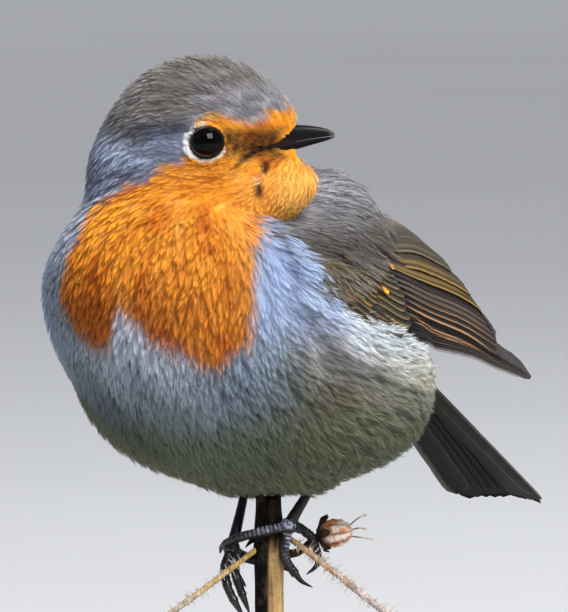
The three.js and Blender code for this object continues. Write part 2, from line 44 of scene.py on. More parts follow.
# ------------------------------------------------------------------ the bird's own frame and form
# Everything of the bird is worked out in millimetres from the trunk's centre, and moved to the frame at the end.
T0 = np.array([-3.8, -3.7, 105.0])
H0 = np.array([-0.3, -10.8, 28.8])
_yaw, _pit = math.radians(121.0), math.radians(5.0)
HA = np.array([math.sin(_yaw) * math.cos(_pit), -math.cos(_yaw) * math.cos(_pit), math.sin(_pit)])
HR = np.cross(HA, [0.0, 0.0, 1.0]); HR /= np.linalg.norm(HR)
HU = np.cross(HR, HA)


def in_head(a, r, u):
    return H0 + a * HA + r * HR + u * HU


def body_axes(p):
    c, s = math.cos(math.radians(p)), math.sin(math.radians(p))
    return np.array([[1, 0, 0], [0, c, -s], [0, s, c]], float)


def head_axes(p):
    c, s = math.cos(math.radians(p)), math.sin(math.radians(p))
    a = HA * c + np.cross(HR, HA) * s
    return np.array([HR, a, np.cross(HR, a)])


# centre, half-sizes, tilt, how far it melts into those before it
TRUNK = [
    ((-0.2, 0.3, -5.5), (28.2, 32.9, 21.8), 24, 0), ((-1.5, -15.4, 4.3), (22.9, 20.8, 16.6), 30, 7),
    ((-0.4, 6.8, 10.6), (21.1, 23.2, 12.0), -25, 8), ((16.9, 5.8, -9.6), (13.8, 18.5, 16.8), 14, 6),
    ((-16.9, 5.8, -9.6), (13.8, 18.5, 16.8), 14, 6), ((0.4, 27, -3.5), (12.5, 17, 9.5), -28, 8),
    ((0.6, 28, -12), (10, 15, 8), -22, 7), ((0, 4.1, -16.6), (16.4, 16.1, 9.6), 10, 6),
    ((-4.5, -11.8, 16.8), (14.5, 14.3, 11.6), 0, 7),
]
SKULL = [
    ((1.8, 0, 1.2), (8.6, 15.0, 14.4), -6, 0), ((-1.4, 0, 0.6), (12.5, 12.4, 12.9), -6, 3),
    ((-1.3, 0, 3.8), (10.6, 11.8, 9.1), -8, 4), ((-9.5, 0, -4.9), (10.0, 9.7, 10.9), 0, 6),
    ((8.7, 0, -0.3), (5.0, 6.2, 8.3), -20, 4), ((2.3, 5.7, -6.3), (6.4, 8.9, 6.7), 10, 4),
    ((2.3, -5.7, -6.3), (6.4, 8.9, 6.7), 10, 4), ((12.5, 0, -8.3), (6.6, 7.2, 4.6), 20, 3.5),
]
THIGHS = [(11.8, 7.0, -22.6), (-4.6, 6.2, -22.8)]
TRUNK_F = [(np.array(c, float), np.array(r, float), body_axes(p), k) for c, r, p, k in TRUNK]
HEAD_F = [(in_head(*c), np.array(r, float), head_axes(p), k) for c, r, p, k in SKULL]


def melt(d, e, k):
    h = np.maximum(k - np.abs(d - e), 0) / k
    return np.minimum(d, e) - h * h * k / 4


def form(P, parts):
    out = None
    for c, r, m, k in parts:
        q = (P - c) @ m.T / r
        k0 = np.sqrt((q * q).sum(-1))
        k1 = np.sqrt(((q / r) ** 2).sum(-1)) + 1e-9
        d = k0 * (k0 - 1) / k1
        out = d if out is None else melt(out, d, k)
    return out


def trunk_form(P):
    return form(P, TRUNK_F)


def head_form(P):
    return form(P, HEAD_F)


def body_form(P):
    d = melt(trunk_form(P), head_form(P), 2.4)
    for c in THIGHS:
        d = melt(d, np.sqrt(((P - np.array(c)) ** 2).sum(-1)) - 5.2, 6.0)
    return d


def slope(P, f=body_form, e=0.15):
    g = np.empty_like(P)
    for i in range(3):
        s = np.zeros(3); s[i] = e
        g[:, i] = f(P + s) - f(P - s)
    n = np.sqrt((g * g).sum(1, keepdims=True)) + 1e-12
    return g / n, n[:, 0] / (2 * e)


def to_level(P, level, f=body_form, rounds=2):
    for _ in range(rounds):
        n, m = slope(P, f)
        P = P - n * np.clip((f(P) - level) / np.maximum(m, 0.4), -2.5, 2.5)[:, None]
    return P, n


def unit(v):
    return v / (np.sqrt((v * v).sum(-1, keepdims=True)) + 1e-12)


def ramp(x, a, b):
    t = np.clip((x - a) / (b - a), 0, 1)
    return t * t * (3 - 2 * t)


def lerp(a, b, t):
    return a + (b - a) * t


# A smooth curve through points, sampled evenly along its length.
def curve(points, n, ahead=0):
    p = np.array(points, float)
    ext = np.vstack([2 * p[0] - p[1], p, 2 * p[-1] - p[-2]])
    fine = []
    for i in range(1, len(ext) - 2):
        x0, x1, x2, x3 = ext[i - 1:i + 3]
        d0, d1, d2 = [max(1e-6, np.linalg.norm(v)) ** 0.5 for v in (x1 - x0, x2 - x1, x3 - x2)]
        t1 = ((x1 - x0) / d0 - (x2 - x0) / (d0 + d1) + (x2 - x1) / d1) * d1
        t2 = ((x2 - x1) / d1 - (x3 - x1) / (d1 + d2) + (x3 - x2) / d2) * d1
        w = np.linspace(0, 1, 60, endpoint=False)[:, None]
        fine.append(x1 + t1 * w + (-3 * x1 + 3 * x2 - 2 * t1 - t2) * w ** 2 + (2 * x1 - 2 * x2 + t1 + t2) * w ** 3)
    fine = np.vstack(fine + [p[-1:]])
    s = np.concatenate([[0], np.cumsum(np.sqrt((np.diff(fine, axis=0) ** 2).sum(1)))])
    at = np.linspace(0, s[-1], n)
    return np.stack([np.interp(at, s, fine[:, i]) for i in range(3)], 1), s[-1]


# ------------------------------------------------------------------ the folded wing's sheet
WING_LEN = 72.0
_edge, _ = curve([(25.6, -12.5, 6.0), (29.6, 2, -1.6), (27.6, 17, -3.8), (23.4, 36, -6.6), (18.5, 59.6, -12.4)], 401)


def _edge_at(t):
    t = np.clip(t, 0, 1) * 400
    return np.stack([np.interp(t, np.arange(401), _edge[:, i]) for i in range(3)], -1)


def _bez(t, a, b, c):
    t = np.asarray(t)[..., None]
    return (1 - t) ** 2 * np.array(a) + 2 * t * (1 - t) * np.array(b) + t ** 2 * np.array(c)


def wing_point(side, a, b, out):
    a, b, out = np.broadcast_arrays(np.asarray(a, float), np.asarray(b, float), np.asarray(out, float))
    t = np.clip(a / WING_LEN, 0, 1)
    along = unit(_edge_at(t + 0.12) - _edge_at(t - 0.12))
    c = _edge_at(t) + along * (a - t * WING_LEN)[..., None]
    up = unit(_bez(t, (-0.4, 0.32, 0.86), (-0.44, 0.06, 0.9), (-0.34, 0.06, 0.94)))
    n = unit(np.cross(along, up))
    n = np.where(n[..., :1] < 0, -n, n)
    bend = (1 - t) ** 2 * 27 + 2 * t * (1 - t) * 28 + t ** 2 * 60
    turn = b / bend
    sn, cs = np.sin(turn), np.cos(turn)
    c = c + up * (sn * bend)[..., None] - n * ((1 - cs) * bend)[..., None]
    c = c + (n * cs[..., None] + up * sn[..., None]) * out[..., None]
    if side < 0:
        c = c * np.array([-1.0, 1, 1])
    return c
# ------------------------------------------------------------------ markings: one set, for skin and coat alike
def srgb(*c):
    c = np.array(c, float) / 255.0
    return np.where(c <= 0.04045, c / 12.92, ((c + 0.055) / 1.055) ** 2.4)


def wobble(P, scale, seed=0):
    """A smooth, cheap, repeatable unevenness, about -1 to 1."""
    g = np.random.default_rng(900 + seed)
    out = 0
    for _ in range(5):
        d = g.normal(size=3); d /= np.linalg.norm(d)
        out = out + np.sin(P @ d * (2 * math.pi / scale) * g.uniform(0.7, 1.5) + g.uniform(0, 6.3))
    return out / 2.6


ORANGE = srgb(250, 166, 44)
ORANGE_DEEP = srgb(208, 108, 18)
ORANGE_PALE = srgb(250, 192, 96)
BLUE = srgb(180, 200, 240)
BLUE_GREY = srgb(134, 145, 174)
LAVENDER = srgb(146, 145, 155)
OLIVE = srgb(133, 131, 134)
OLIVE_WARM = srgb(128, 120, 106)
WHITE = srgb(240, 243, 248)
CROWN = srgb(134, 129, 124)
BELLY = srgb(152, 170, 184)
FLANK = srgb(108, 105, 88)
CREAM = srgb(192, 191, 174)
# the next colour is painted shade, for the belly's underside
UNDER_SHADE = srgb(115, 125, 99)
LORE = srgb(58, 28, 6)
DARK = srgb(24, 20, 18)


def orange_depth(P, w):
    """How far inside the orange a place is, in mm; negative outside. w is 1 on the head, 0 on the trunk."""
    h = P - H0
    a, r, u = h @ HA, h @ HR, h @ HU
    x, y, z = P[..., 0], P[..., 1], P[..., 2]
    top = np.interp(a, [-22, -19.5, -18, -14.9, -11.8, -7.5, -3.9, -1.3, -0.4, 0.8, 2.5, 5.3, 8.1, 11, 13.7, 16.2, 18],
                    [-10, -8.7, -7.2, -6, -4.5, -3.7, -1.5, -0.8, 0.7, 4.3, 5.4, 5.2, 4.2, 4.6, 5.4, 6.3, 6.5])
    face = top - u
    face = np.where(r > 0, np.where(a < -8, np.minimum(face, (r - 5.0) * 0.9), face), np.minimum(face, (a + 3.5) * 0.8))
    phi = np.degrees(np.arctan2(x, -(y + 2)))
    rho = np.hypot(x, y + 2) * math.pi / 180
    left = np.interp(z, [-6, -2.5, 1.2, 4.7, 11.3, 15.3, 18.5, 20.1, 21.5, 23.3, 24.5], [-10, -12, -18, -23, -21, -21, -25, -24, -17, -10, -1])
    right = np.interp(z, [-6, -3.6, -1.9, 2.2, 8.7, 13.4, 16.8, 18.2, 20], [33, 35, 41, 42, 43, 45, 53, 58, 60])
    low = np.interp(phi, [-23, -18, -10, -5, -1, 1, 5, 10, 21, 30, 35, 41], [4.0, 0.5, -2.5, -1.8, 2.0, 4.5, 2.1, -1.2, -3.6, -5.6, -3.6, -1.9])
    bib = np.minimum(np.minimum((phi - left) * rho, (right - phi) * rho), z - low)
    return bib * (1 - w) + face * w


def marks(P, rough=1.0):
    """Colour of the plumage at places (..., 3), as linear RGB."""
    h = P - H0
    a, r, u = h @ HA, h @ HR, h @ HU
    x, y, z = P[..., 0], P[..., 1], P[..., 2]
    n1, n2, n3 = wobble(P, 9.0, 1), wobble(P, 3.2, 2), wobble(P, 22.0, 3)
    E = lambda w: w[..., None]
    flat = P.reshape(-1, 3)
    on_head = ramp(trunk_form(flat) - head_form(flat), -1.2, 1.2).reshape(P.shape[:-1])
    s = orange_depth(P, on_head) + rough * (0.55 * n2 + 0.35 * n1)
    back = ramp(y * 0.75 + z * 0.85, 12.0, 22.0)  # the upper side of the trunk
    # trunk underside: blue-white near the bib, grey on the flanks, cream behind, and greenish grey painted shade below
    phi = np.degrees(np.arctan2(x, -(y + 2)))
    under = lerp(BELLY, FLANK, E(ramp(y + np.abs(x) * 0.35, -17, -1)))
    under = lerp(under, CREAM, E(ramp(y, -9, 3) * ramp(z, -18, -8) * (1 - 0.75 * ramp(z, 1, 6)) * ramp(np.abs(x), 14, 22)))
    # painted shade: the belly's underside greenish grey and darker
    under = lerp(under, UNDER_SHADE, E(0.9 * ramp(-z, 10, 19)))
    under = lerp(under, CREAM, E(ramp(y, 22, 34) * 0.8))
    fluff = ramp(y + 1.5 * n1, -15.5, -8) * ramp(z + 1.2 * n1, -11, -1) * ramp(np.abs(x), 12, 20)
    under = lerp(under, WHITE, E(fluff * 0.92))
    up_side = ramp(z + 0.25 * n1, -5.0, 5.0) * ramp(-y, 3, 11)
    under = lerp(under, BLUE, E(up_side * 0.95))
    near = (1 - ramp(-s, 3.0, 12.0)) * (1 - on_head)  # palest along the bib's lower edge
    left = 1 - ramp(x, 6, 15)
    under = lerp(under, lerp(lerp(BELLY, BLUE, 0.5), srgb(216, 226, 242), E(left)), E((0.5 + 0.3 * left) * near))
    # painted light: a lit patch low on each side of the breast below the blue band, a little darker higher up
    glow = np.exp(-((z - 6.5) / 4.6) ** 2 - ((y + 14) / 5.5) ** 2) * ramp(np.abs(x), 12, 18)
    under = under * (1 + E(0.12 * glow - 0.1 * ramp(z, 11, 14) * ramp(np.abs(x), 10, 15)))
    under = under * (1 + E(0.34 * np.exp(-((z - 0.5) / 4.5) ** 2 - ((y + 14) / 5.5) ** 2) * ramp(np.abs(x), 12, 18)) * np.array([1.0, 0.76, 0.62]))
    under = np.minimum(under, np.array([0.72, 0.80, 0.92]))
    # painted shade in the hollow low on each side of the breast
    hollow = np.exp(-((np.abs(x) - 14) / 8) ** 2 - ((z + 9) / 5.5) ** 2) * ramp(-y, 10, 18)
    under = under * (1 - E(0.3 * hollow))
    # painted shade: the trunk darker on the side away from the light, most of all low and in front
    under = under * (1 - E(0.45 * ramp(-z, 7, 12) * ramp(-x, -2, 9) * ramp(-y, 6, 16)))
    under = under * (1 - E(0.34 * ramp(-x, 3, 12) * ramp(z, -4, 3)))
    upper = lerp(OLIVE, OLIVE_WARM, E(0.5 + 0.5 * n3))
    trunk = lerp(under, upper, E(back))
    # shoulders: olive grey over the breast side, behind the blue band
    trunk = lerp(trunk, OLIVE, E(ramp(z, 9, 15) * ramp(np.abs(phi), 60, 72)))
    # painted shade: a darker, browner band where the shoulder meets the breast's blue, with painted light above it
    painted_shade = 0.5 * np.exp(-((z - 11.8) / 3.2) ** 2)
    trunk = lerp(trunk, lerp(OLIVE, OLIVE_WARM, E(painted_shade)) * (1.14 - 1.28 * E(painted_shade)), E(ramp(z + 1.6 * y + 0.8 * n1, -7.0, -3.8) * ramp(z, 1, 5) * ramp(np.abs(x), 12, 17) * (1 - back)))
    # a paler, bluish grey place high on each shoulder: a painted sheen
    high = np.exp(-((np.abs(x) - 14) / 6) ** 2 - ((y - 6) / 8.5) ** 2 - ((z - 22) / 3.2) ** 2)
    trunk = lerp(trunk, srgb(205, 206, 222), E(0.85 * high * (0.7 + 0.3 * np.clip(n2, -1, 1))))
    head = lerp(CROWN, OLIVE, E(ramp(-a, 4, 14)))
    speck = 0.5 + 0.5 * np.clip(wobble(P, 1.7, 4), -1, 1)
    lav = ramp(a, -2, 3) * (1 - ramp(u, 8.0, 12.5)) * (0.45 + 0.55 * speck)
    head = lerp(head, LAVENDER, E(lav))
    head = lerp(head, BLUE_GREY, E((1 - ramp(a, -1.0, 3.5)) * ramp(a, -12, -6) * (1 - ramp(u, 3.2, 7.0)) * 0.9))
    neck = ramp(-a, 5.5, 10.0) * (1 - ramp(u + 0.4 * (a + 14), 0.5, 4.5)) * (1 - 0.55 * ramp(-u, 4.0, 9.0) * ramp(-a, 13, 18))
    head = lerp(head, BLUE * 0.52, E(np.clip(neck * (0.65 + 0.35 * speck), 0, 1)))
    # painted highlight: a pale bluish sheen on the side of the neck behind the eye
    pale = np.exp(-((a + 12.2) / 3.2) ** 2 - ((u - 1.2 + 0.35 * (a + 12)) / 2.1) ** 2)
    head = lerp(head, srgb(206, 222, 252), E(0.85 * pale * (0.7 + 0.3 * speck)))
    dusk = np.exp(-((u - 4.2 - 0.12 * (a + 6)) / 1.3) ** 2) * (1 - ramp(a, -2.0, 1.0)) * ramp(a, -14, -8)
    head = lerp(head, DARK, E(0.62 * dusk))
    streak = np.clip(wobble(P * np.array([0.55, 0.55, 1.6]), 2.4, 5), -1, 1)  # the crown and nape are mottled
    # painted shade: the nape darker, on top of the mottling
    head = head * (1 + E(0.26 * streak)) * (1 - E(0.55 * ramp(-a, 9, 15) * ramp(u, 0, 6)))
    head = head * (1 - E(ramp(-a, 14, 18) * ramp(u, -6, -2)) * np.array([0.60, 0.66, 0.76]))
    base = lerp(trunk, head, E(on_head))
    # orange, deeper in the face before the eye; paler and yellower on the chin, a painted highlight where the light
    # falls
    tone = 0.5 + 0.28 * n1 + 0.22 * n2
    orange = lerp(ORANGE_DEEP, ORANGE, E(ramp(tone, 0.0, 0.55)))
    orange = lerp(orange, ORANGE_PALE, E(0.55 * ramp(tone, 0.55, 1.1)))
    chin = (0.45 * ramp(a, 3.5, 8.0) + 0.55 * ramp(a, 9.5, 15.0)) * ramp(-u, 2.5, 6.5)
    orange = lerp(orange, ORANGE_PALE, E(chin * 0.75))
    lore = ramp(a, 3.0, 6.0) * (1 - ramp(a, 12.5, 15.0)) * (1 - ramp(np.abs(u - 1.2 + (a - 6) * 0.10), 1.2, 3.3)) * ramp(np.abs(r), 0.5, 1.5)
    orange = lerp(orange, LORE, E(lore * (0.62 + 0.38 * speck)))
    # painted shadow under the bill, on the chin
    under_bill_shadow = np.exp(-((a - 13.6) / 2.6) ** 2 - ((u + 2.0) / 1.0) ** 2)
    orange = lerp(orange, LORE, E(0.7 * np.clip(under_bill_shadow, 0, 1)))
    edge = 1 - ramp(s, 0.0, 3.5)
    orange = lerp(orange, ORANGE_DEEP, E(0.35 * edge * (1 - on_head)))
    # painted shade: the bib darker towards its lower part; the head's orange a little darker higher up and away from
    # the chin
    deep = ramp(-z, -13, -3) * (1 - 0.5 * ramp(x, 8, 16)) * (1 - on_head)
    orange = orange * (1 - E(deep) * np.array([0.34, 0.46, 0.46])) * (1 - E(0.18 * ramp(u, 3.5, 6.5) * on_head)) * (1 - E(0.09 * on_head * (1 - ramp(-u, 4, 7))))
    out = lerp(base, orange, E(ramp(s, -0.8 - 0.9 * (1 - on_head) * ramp(-z, -8, 4), 0.8 + 0.6 * (1 - on_head))))
    # painted shade: the breast's far side darker and deeper in colour
    far = ramp(-x, -4, 12) * ramp(-y, 22, 31) * (1 - ramp(z, 9, 19)) * (1 - on_head)
    dip = np.exp(-((x + 6) / 6.5) ** 2 - ((z - 4.5) / 6.5) ** 2) * ramp(-y, 18, 26) * (1 - on_head)
    far = np.where(s > 0, 0.36 * far + 0.36 * dip, far)
    out = out * (1 - E(far) * lerp(np.array([0.46, 0.42, 0.40]), np.array([0.50, 0.74, 0.95]), E(ramp(s, -0.8, 0.8))))
    # the corner of the mouth: painted shade along the crease running back from the bill
    line = np.interp(a, [5.6, 7.2, 10.5, 14.4], [-3.4, -2.1, -0.75, -0.3])
    crease = (1 - ramp(np.abs(u - line), 0.30, 0.95)) * ramp(a, 5.6, 7.4) * (1 - ramp(a, 15.5, 17)) * ramp(np.abs(r), 0.4, 1.2)
    out = lerp(out, DARK, E(0.9 * crease * on_head))
    # small dark feathers on the throat
    for c, rad in THROAT_SPOTS:
        q = P - c
        d = np.sqrt((q @ HA) ** 2 * 1.6 + (q @ HR) ** 2 * 0.3 + (q @ HU) ** 2 * 0.45)
        out = lerp(out, srgb(44, 14, 8), E(0.92 * (1 - ramp(d, rad * 0.5, rad))))
    # painted highlights: small pale glints among the throat feathers
    for c, rad in THROAT_GLINTS:
        q = P - c
        d = np.sqrt((q @ HA) ** 2 * 2.2 + (q @ HR) ** 2 * 0.3 + (q @ HU) ** 2 * 0.35)
        out = lerp(out, srgb(255, 226, 190), E(0.8 * (1 - ramp(d, rad * 0.5, rad))))
    return out


THROAT_SPOTS = [(in_head(11.3, 7.2, -3.5), 1.25), (in_head(9.9, 8.3, -7.2), 1.45)]
THROAT_GLINTS = [(in_head(9.7, 8.8, -5.6), 0.8), (in_head(10.9, 7.6, -4.6), 0.6)]

# ------------------------------------------------------------------ meshes in code
def to_m(P):
    return (np.asarray(P) + T0) / 1000.0


def mesh_of(name, V, loops, sizes, uv=None, colour=None, extra=None, smooth=True):
    """V in millimetres from the trunk's centre; loops are vertex numbers, sizes the corners of each face."""
    me = bpy.data.meshes.new(name)
    V = to_m(V).astype(np.float32)
    me.vertices.add(len(V)); me.vertices.foreach_set("co", V.ravel())
    loops = np.asarray(loops, np.int32).ravel(); sizes = np.asarray(sizes, np.int32)
    me.loops.add(len(loops)); me.loops.foreach_set("vertex_index", loops)
    me.polygons.add(len(sizes))
    starts = np.concatenate([[0], np.cumsum(sizes)[:-1]]).astype(np.int32)
    me.polygons.foreach_set("loop_start", starts)
    try:
        me.polygons.foreach_set("loop_total", sizes)
    except Exception:
        pass
    me.polygons.foreach_set("use_smooth", np.full(len(sizes), smooth))
    if uv is not None:
        layer = me.uv_layers.new(name="OFBake")
        layer.data.foreach_set("uv", np.asarray(uv, np.float32).ravel())
    if colour is not None:
        c = np.ones((len(V), 4), np.float32); c[:, :3] = np.clip(colour, 0, 1)
        at = me.attributes.new("plumage", "FLOAT_COLOR", "POINT")
        at.data.foreach_set("color", c.ravel())
    for key, val in (extra or {}).items():
        val = np.asarray(val, np.float32)
        at = me.attributes.new(key, "FLOAT_VECTOR", "POINT")
        at.data.foreach_set("vector", val.ravel())
    me.update(calc_edges=True)
    ob = bpy.data.objects.new(name, me)
    bpy.context.scene.collection.objects.link(ob)
    return ob


# Where a place on the skin lies on the skin's own unwrap: twelve charts, one for each way a face looks, head and trunk.
def chart(P, N, head):
    ax = np.argmax(np.abs(N), axis=-1)
    sg = np.take_along_axis(N, ax[..., None], -1)[..., 0] > 0
    idx = head.astype(int) * 6 + ax * 2 + sg
    o1, o2 = np.array([1, 0, 0])[ax], np.array([2, 2, 1])[ax]
    base = np.where(head[..., None], H0, np.array([0.0, 2.0, -4.0]))
    q = P - base
    p1 = np.take_along_axis(q, o1[..., None], -1)[..., 0]
    p2 = np.take_along_axis(q, o2[..., None], -1)[..., 0]
    k = np.where(head, 0.0048, 0.00275)
    u = (idx % 4 + 0.5) / 4 + np.clip(p1 * k, -0.122, 0.122)
    v = (idx // 4 + 0.5) / 3 + np.clip(p2 * k, -0.163, 0.163)
    return np.stack([u, v], -1)


class Coat:
    """Gathers barbed feathers, group by group, and turns each group into meshes of under 200,000 triangles."""

    def __init__(self):
        self.groups = {}

    def add(self, group, P, N, L, W, root_uv, barbs=30, thick=0.15, spread=40.0, reach=0.42, low=0.15, high=None,
            colour=None, start=0.12, loft=0.0, curl=0.3, wild=0.12, shaft=False, local=0.6, dark=0.8, lift=0.0, clump=0.16):
        """P, N: (n, K, J, 3) patches of the surface under each feather, root to tip and side to side."""
        n, K, J = P.shape[:3]
        if n == 0:
            return
        g = rng
        B = barbs
        side = np.where(np.arange(B) % 2 == 0, 1.0, -1.0)
        rank = (np.arange(B) // 2 + 0.5) / max(1, B // 2)
        t0 = start + (0.90 - start) * rank ** 0.85
        t0 = t0[None] + g.normal(0, 0.018, (n, B))
        ang = np.radians(spread) * (1 - rank ** 1.35 * 0.93)
        # neighbouring barbs cling together in bundles of three or so
        lock = np.arange(B) // 6 * 2 + np.arange(B) % 2
        nl = int(lock.max()) + 1
        ang = ang[None] * g.uniform(0.72, 1.22, (n, nl))[:, lock] * g.uniform(0.93, 1.07, (n, B)) + np.radians(2)
        ln = (reach * (1 - 0.48 * rank))[None] * L[:, None] * g.uniform(0.84, 1.13, (n, nl))[:, lock] * g.uniform(0.93, 1.06, (n, B))
        T = np.stack([t0 * L[:, None], t0 * L[:, None] + ln * 0.45 * np.cos(ang * 1.15), t0 * L[:, None] + ln * np.cos(ang)], -1)
        Wd = np.stack([np.zeros_like(ln), ln * 0.45 * np.sin(ang * 1.25), ln * np.sin(ang)], -1) * side[None, :, None]
        for k in range(nl):
            m = lock == k
            T[:, m, 2] = lerp(T[:, m, 2], T[:, m, 2].mean(1, keepdims=True), 0.4)
            Wd[:, m, 2] = lerp(Wd[:, m, 2], Wd[:, m, 2].mean(1, keepdims=True), 0.45)
        Wd = Wd + g.normal(0, 0.05, (n, B, 3)) * np.array([0.3, 0.6, 1.4])
        if shaft:  # the shaft itself takes the place of the last barb
            T[:, -1] = np.stack([0.12 * L, 0.5 * L, 0.93 * L], -1)
            Wd[:, -1] = 0
        tn = T / L[:, None, None]
        wn = Wd / W[:, None, None]
        if high is None:
            high = np.full(n, 1.5)
        H = low + (high[:, None, None] - low) * np.clip(tn, 0, 1.15) ** 1.1
        H = H - curl * wn ** 2 + loft * np.clip(tn - 0.6, 0, 1) ** 1.5
        jit = g.normal(0, wild * 0.6, (n, B)) + g.normal(0, wild, (n, nl))[:, lock] + np.where(g.random((n, B)) < 0.05, g.uniform(0.2, 0.7, (n, B)), 0) * (wild / 0.12)
        H[..., 1] += jit * 0.5; H[..., 2] += jit
        H += (lift + g.normal(0, wild * 0.9, (n, 1)) * np.ones((1, B)))[..., None] * np.clip(tn, 0, 1)
        # place on the patch
        fi = np.clip(tn / 1.12 * (K - 1), 0, K - 1.001); fj = np.clip((wn / 1.15 + 1) / 2 * (J - 1), 0, J - 1.001)
        i0, j0 = fi.astype(int), fj.astype(int)
        di, dj = (fi - i0)[..., None], (fj - j0)[..., None]
        idx = np.arange(n)[:, None, None]

        def take(A):
            return (A[idx, i0, j0] * (1 - di) * (1 - dj) + A[idx, i0 + 1, j0] * di * (1 - dj)
                    + A[idx, i0, j0 + 1] * (1 - di) * dj + A[idx, i0 + 1, j0 + 1] * di * dj)

        S = take(P)
        Nn = unit(take(N))
        Q = S + Nn * H[..., None]
        d = unit(Q[:, :, 2] - Q[:, :, 0])
        sd1 = unit(np.cross(Nn[:, :, 1], d))
        th = thick * g.uniform(0.75, 1.25, (n, B, 1))
        if shaft:
            th[:, -1] *= 1.25
        V = np.empty((n, B, 5, 3), np.float64)
        V[:, :, 0] = Q[:, :, 0]
        V[:, :, 1] = Q[:, :, 1] + sd1 * th * 0.5
        V[:, :, 2] = Q[:, :, 1] - sd1 * th * 0.5
        V[:, :, 3] = Q[:, :, 1] + Nn[:, :, 1] * th * 0.6
        V[:, :, 4] = Q[:, :, 2]
        # colour: the place's own markings, each feather a little apart from its neighbours
        fc = colour(S[:, :1, :1] * 0 + P[np.arange(n), int((K - 1) * 0.62), J // 2][:, None, None])  # (n,1,1,3)
        sc = colour(S)
        C = fc * (1 - local) + sc * local
        tone = 1 + g.normal(0, 0.05, (n, 1, 1)) + g.normal(0, 0.07, (n, B, 1)) + (g.normal(0, clump, (n, nl)).clip(-2 * clump, 2 * clump))[:, lock, None]
        root = lerp(dark, 1.05, ramp(tn, 0.15, 0.8))
        C = C * (tone * root)[..., None]
        C = lerp(C, C.mean(-1, keepdims=True), (0.25 * (1 - ramp(tn, 0.2, 0.6)))[..., None])
        Cv = np.concatenate([C[:, :, :1], C[:, :, 1:2].repeat(3, 2), C[:, :, 2:]], 2)
        uvs = np.stack([wn, tn - 0.5], -1) * 0.0013
        uv = root_uv[:, None, None] + uvs
        uv = np.concatenate([uv[:, :, :1], uv[:, :, 1:2].repeat(3, 2), uv[:, :, 2:]], 2)
        self.groups.setdefault(group, []).append((V.reshape(-1, 5, 3), Cv.reshape(-1, 5, 3), uv.reshape(-1, 5, 2)))

    LOOPS = np.array([1, 2, 4, 2, 3, 4, 3, 1, 4, 2, 1, 0, 3, 2, 0, 1, 3, 0])
    SIZES = np.array([3, 3, 3, 3, 3, 3])

    def build(self, material, slots):
        made = []
        for group, parts in self.groups.items():
            V = np.concatenate([p[0] for p in parts]); C = np.concatenate([p[1] for p in parts]); U = np.concatenate([p[2] for p in parts])
            n = len(V)
            pieces = max(1, math.ceil(n * 6 / 190000))
            for i in range(pieces):
                lo, hi = n * i // pieces, n * (i + 1) // pieces
                m = hi - lo
                loops = (self.LOOPS[None] + np.arange(m)[:, None] * 5).ravel()
                uv = U[lo:hi][:, self.LOOPS].reshape(-1, 2)
                ob = mesh_of(f"{group}_{i + 1}" if pieces > 1 else group, V[lo:hi].reshape(-1, 3), loops, np.tile(self.SIZES, m), uv, C[lo:hi].reshape(-1, 3))
                ob.data.materials.append(material)
                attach(ob, "root")
                made.append(ob)
        return made


def trace(P, flow, L, W, K=6, J=5, level=-1.5, f=body_form, spread=1.12):
    """The surface under each feather: a path from its root along the flow, and both sides of it."""
    n = len(P)
    path, norm, dirs = [], [], []
    p, nn = to_level(P, level, f)
    for i in range(K):
        d = flow(p); d = unit(d - nn * (d * nn).sum(-1, keepdims=True))
        path.append(p); norm.append(nn); dirs.append(d)
        if i < K - 1:
            p, nn = to_level(p + d * (L * spread / (K - 1))[:, None], level, f, 1)
    path, norm, dirs = np.stack(path, 1), np.stack(norm, 1), np.stack(dirs, 1)
    # a feather is nearly straight: its side way is that of its middle, level with the surface
    P4 = np.empty((n, K, J, 3)); N4 = np.empty((n, K, J, 3))
    P4[:, :, J // 2] = path; N4[:, :, J // 2] = norm
    sd = unit(np.cross(norm, dirs))
    for sgn in (1, -1):
        q, s_ = path.reshape(-1, 3), sd.reshape(-1, 3)
        for j in range(1, J // 2 + 1):
            step = (W * 1.15 / (J // 2)).repeat(K)[:, None]
            q, qn = to_level(q + sgn * s_ * step, level, f, 1)
            s_ = unit(s_ - qn * (s_ * qn).sum(-1, keepdims=True))
            P4[:, :, J // 2 + sgn * j] = q.reshape(n, K, 3); N4[:, :, J // 2 + sgn * j] = qn.reshape(n, K, 3)
    return P4, N4


def scatter(P, gap):
    """Roots picked in turn from shuffled candidates, none closer to an earlier one than that one's gap."""
    tree = KDTree(len(P))
    for i, p in enumerate(P.tolist()):
        tree.insert(p, i)
    tree.balance()
    dead, keep = np.zeros(len(P), bool), []
    for i in range(len(P)):
        if not dead[i]:
            keep.append(i)
            for _, j, _ in tree.find_range(P[i].tolist(), float(gap[i])):
                dead[j] = True
    return np.array(keep)

# ------------------------------------------------------------------ materials
def material(name, build):
    m = bpy.data.materials.new(name)
    m.use_nodes = True
    nt = m.node_tree
    b = nt.nodes["Principled BSDF"]

    def node(kind, **kw):
        n = nt.nodes.new(kind)
        for k, v in kw.items():
            if k in n.inputs:
                n.inputs[k].default_value = v
            else:
                setattr(n, k, v)
        return n

    build(nt, b, node, nt.links.new)
    return m


def mixed(node, link, fac, a, b, mode="MIX"):
    n = node("ShaderNodeMix", data_type="RGBA", blend_type=mode)
    for sock, val in ((0, fac), (6, a), (7, b)):
        if hasattr(val, "is_output") or isinstance(val, bpy.types.NodeSocket):
            link(val, n.inputs[sock])
        else:
            n.inputs[sock].default_value = val if sock == 0 else (*val, 1)
    return n.outputs[2]


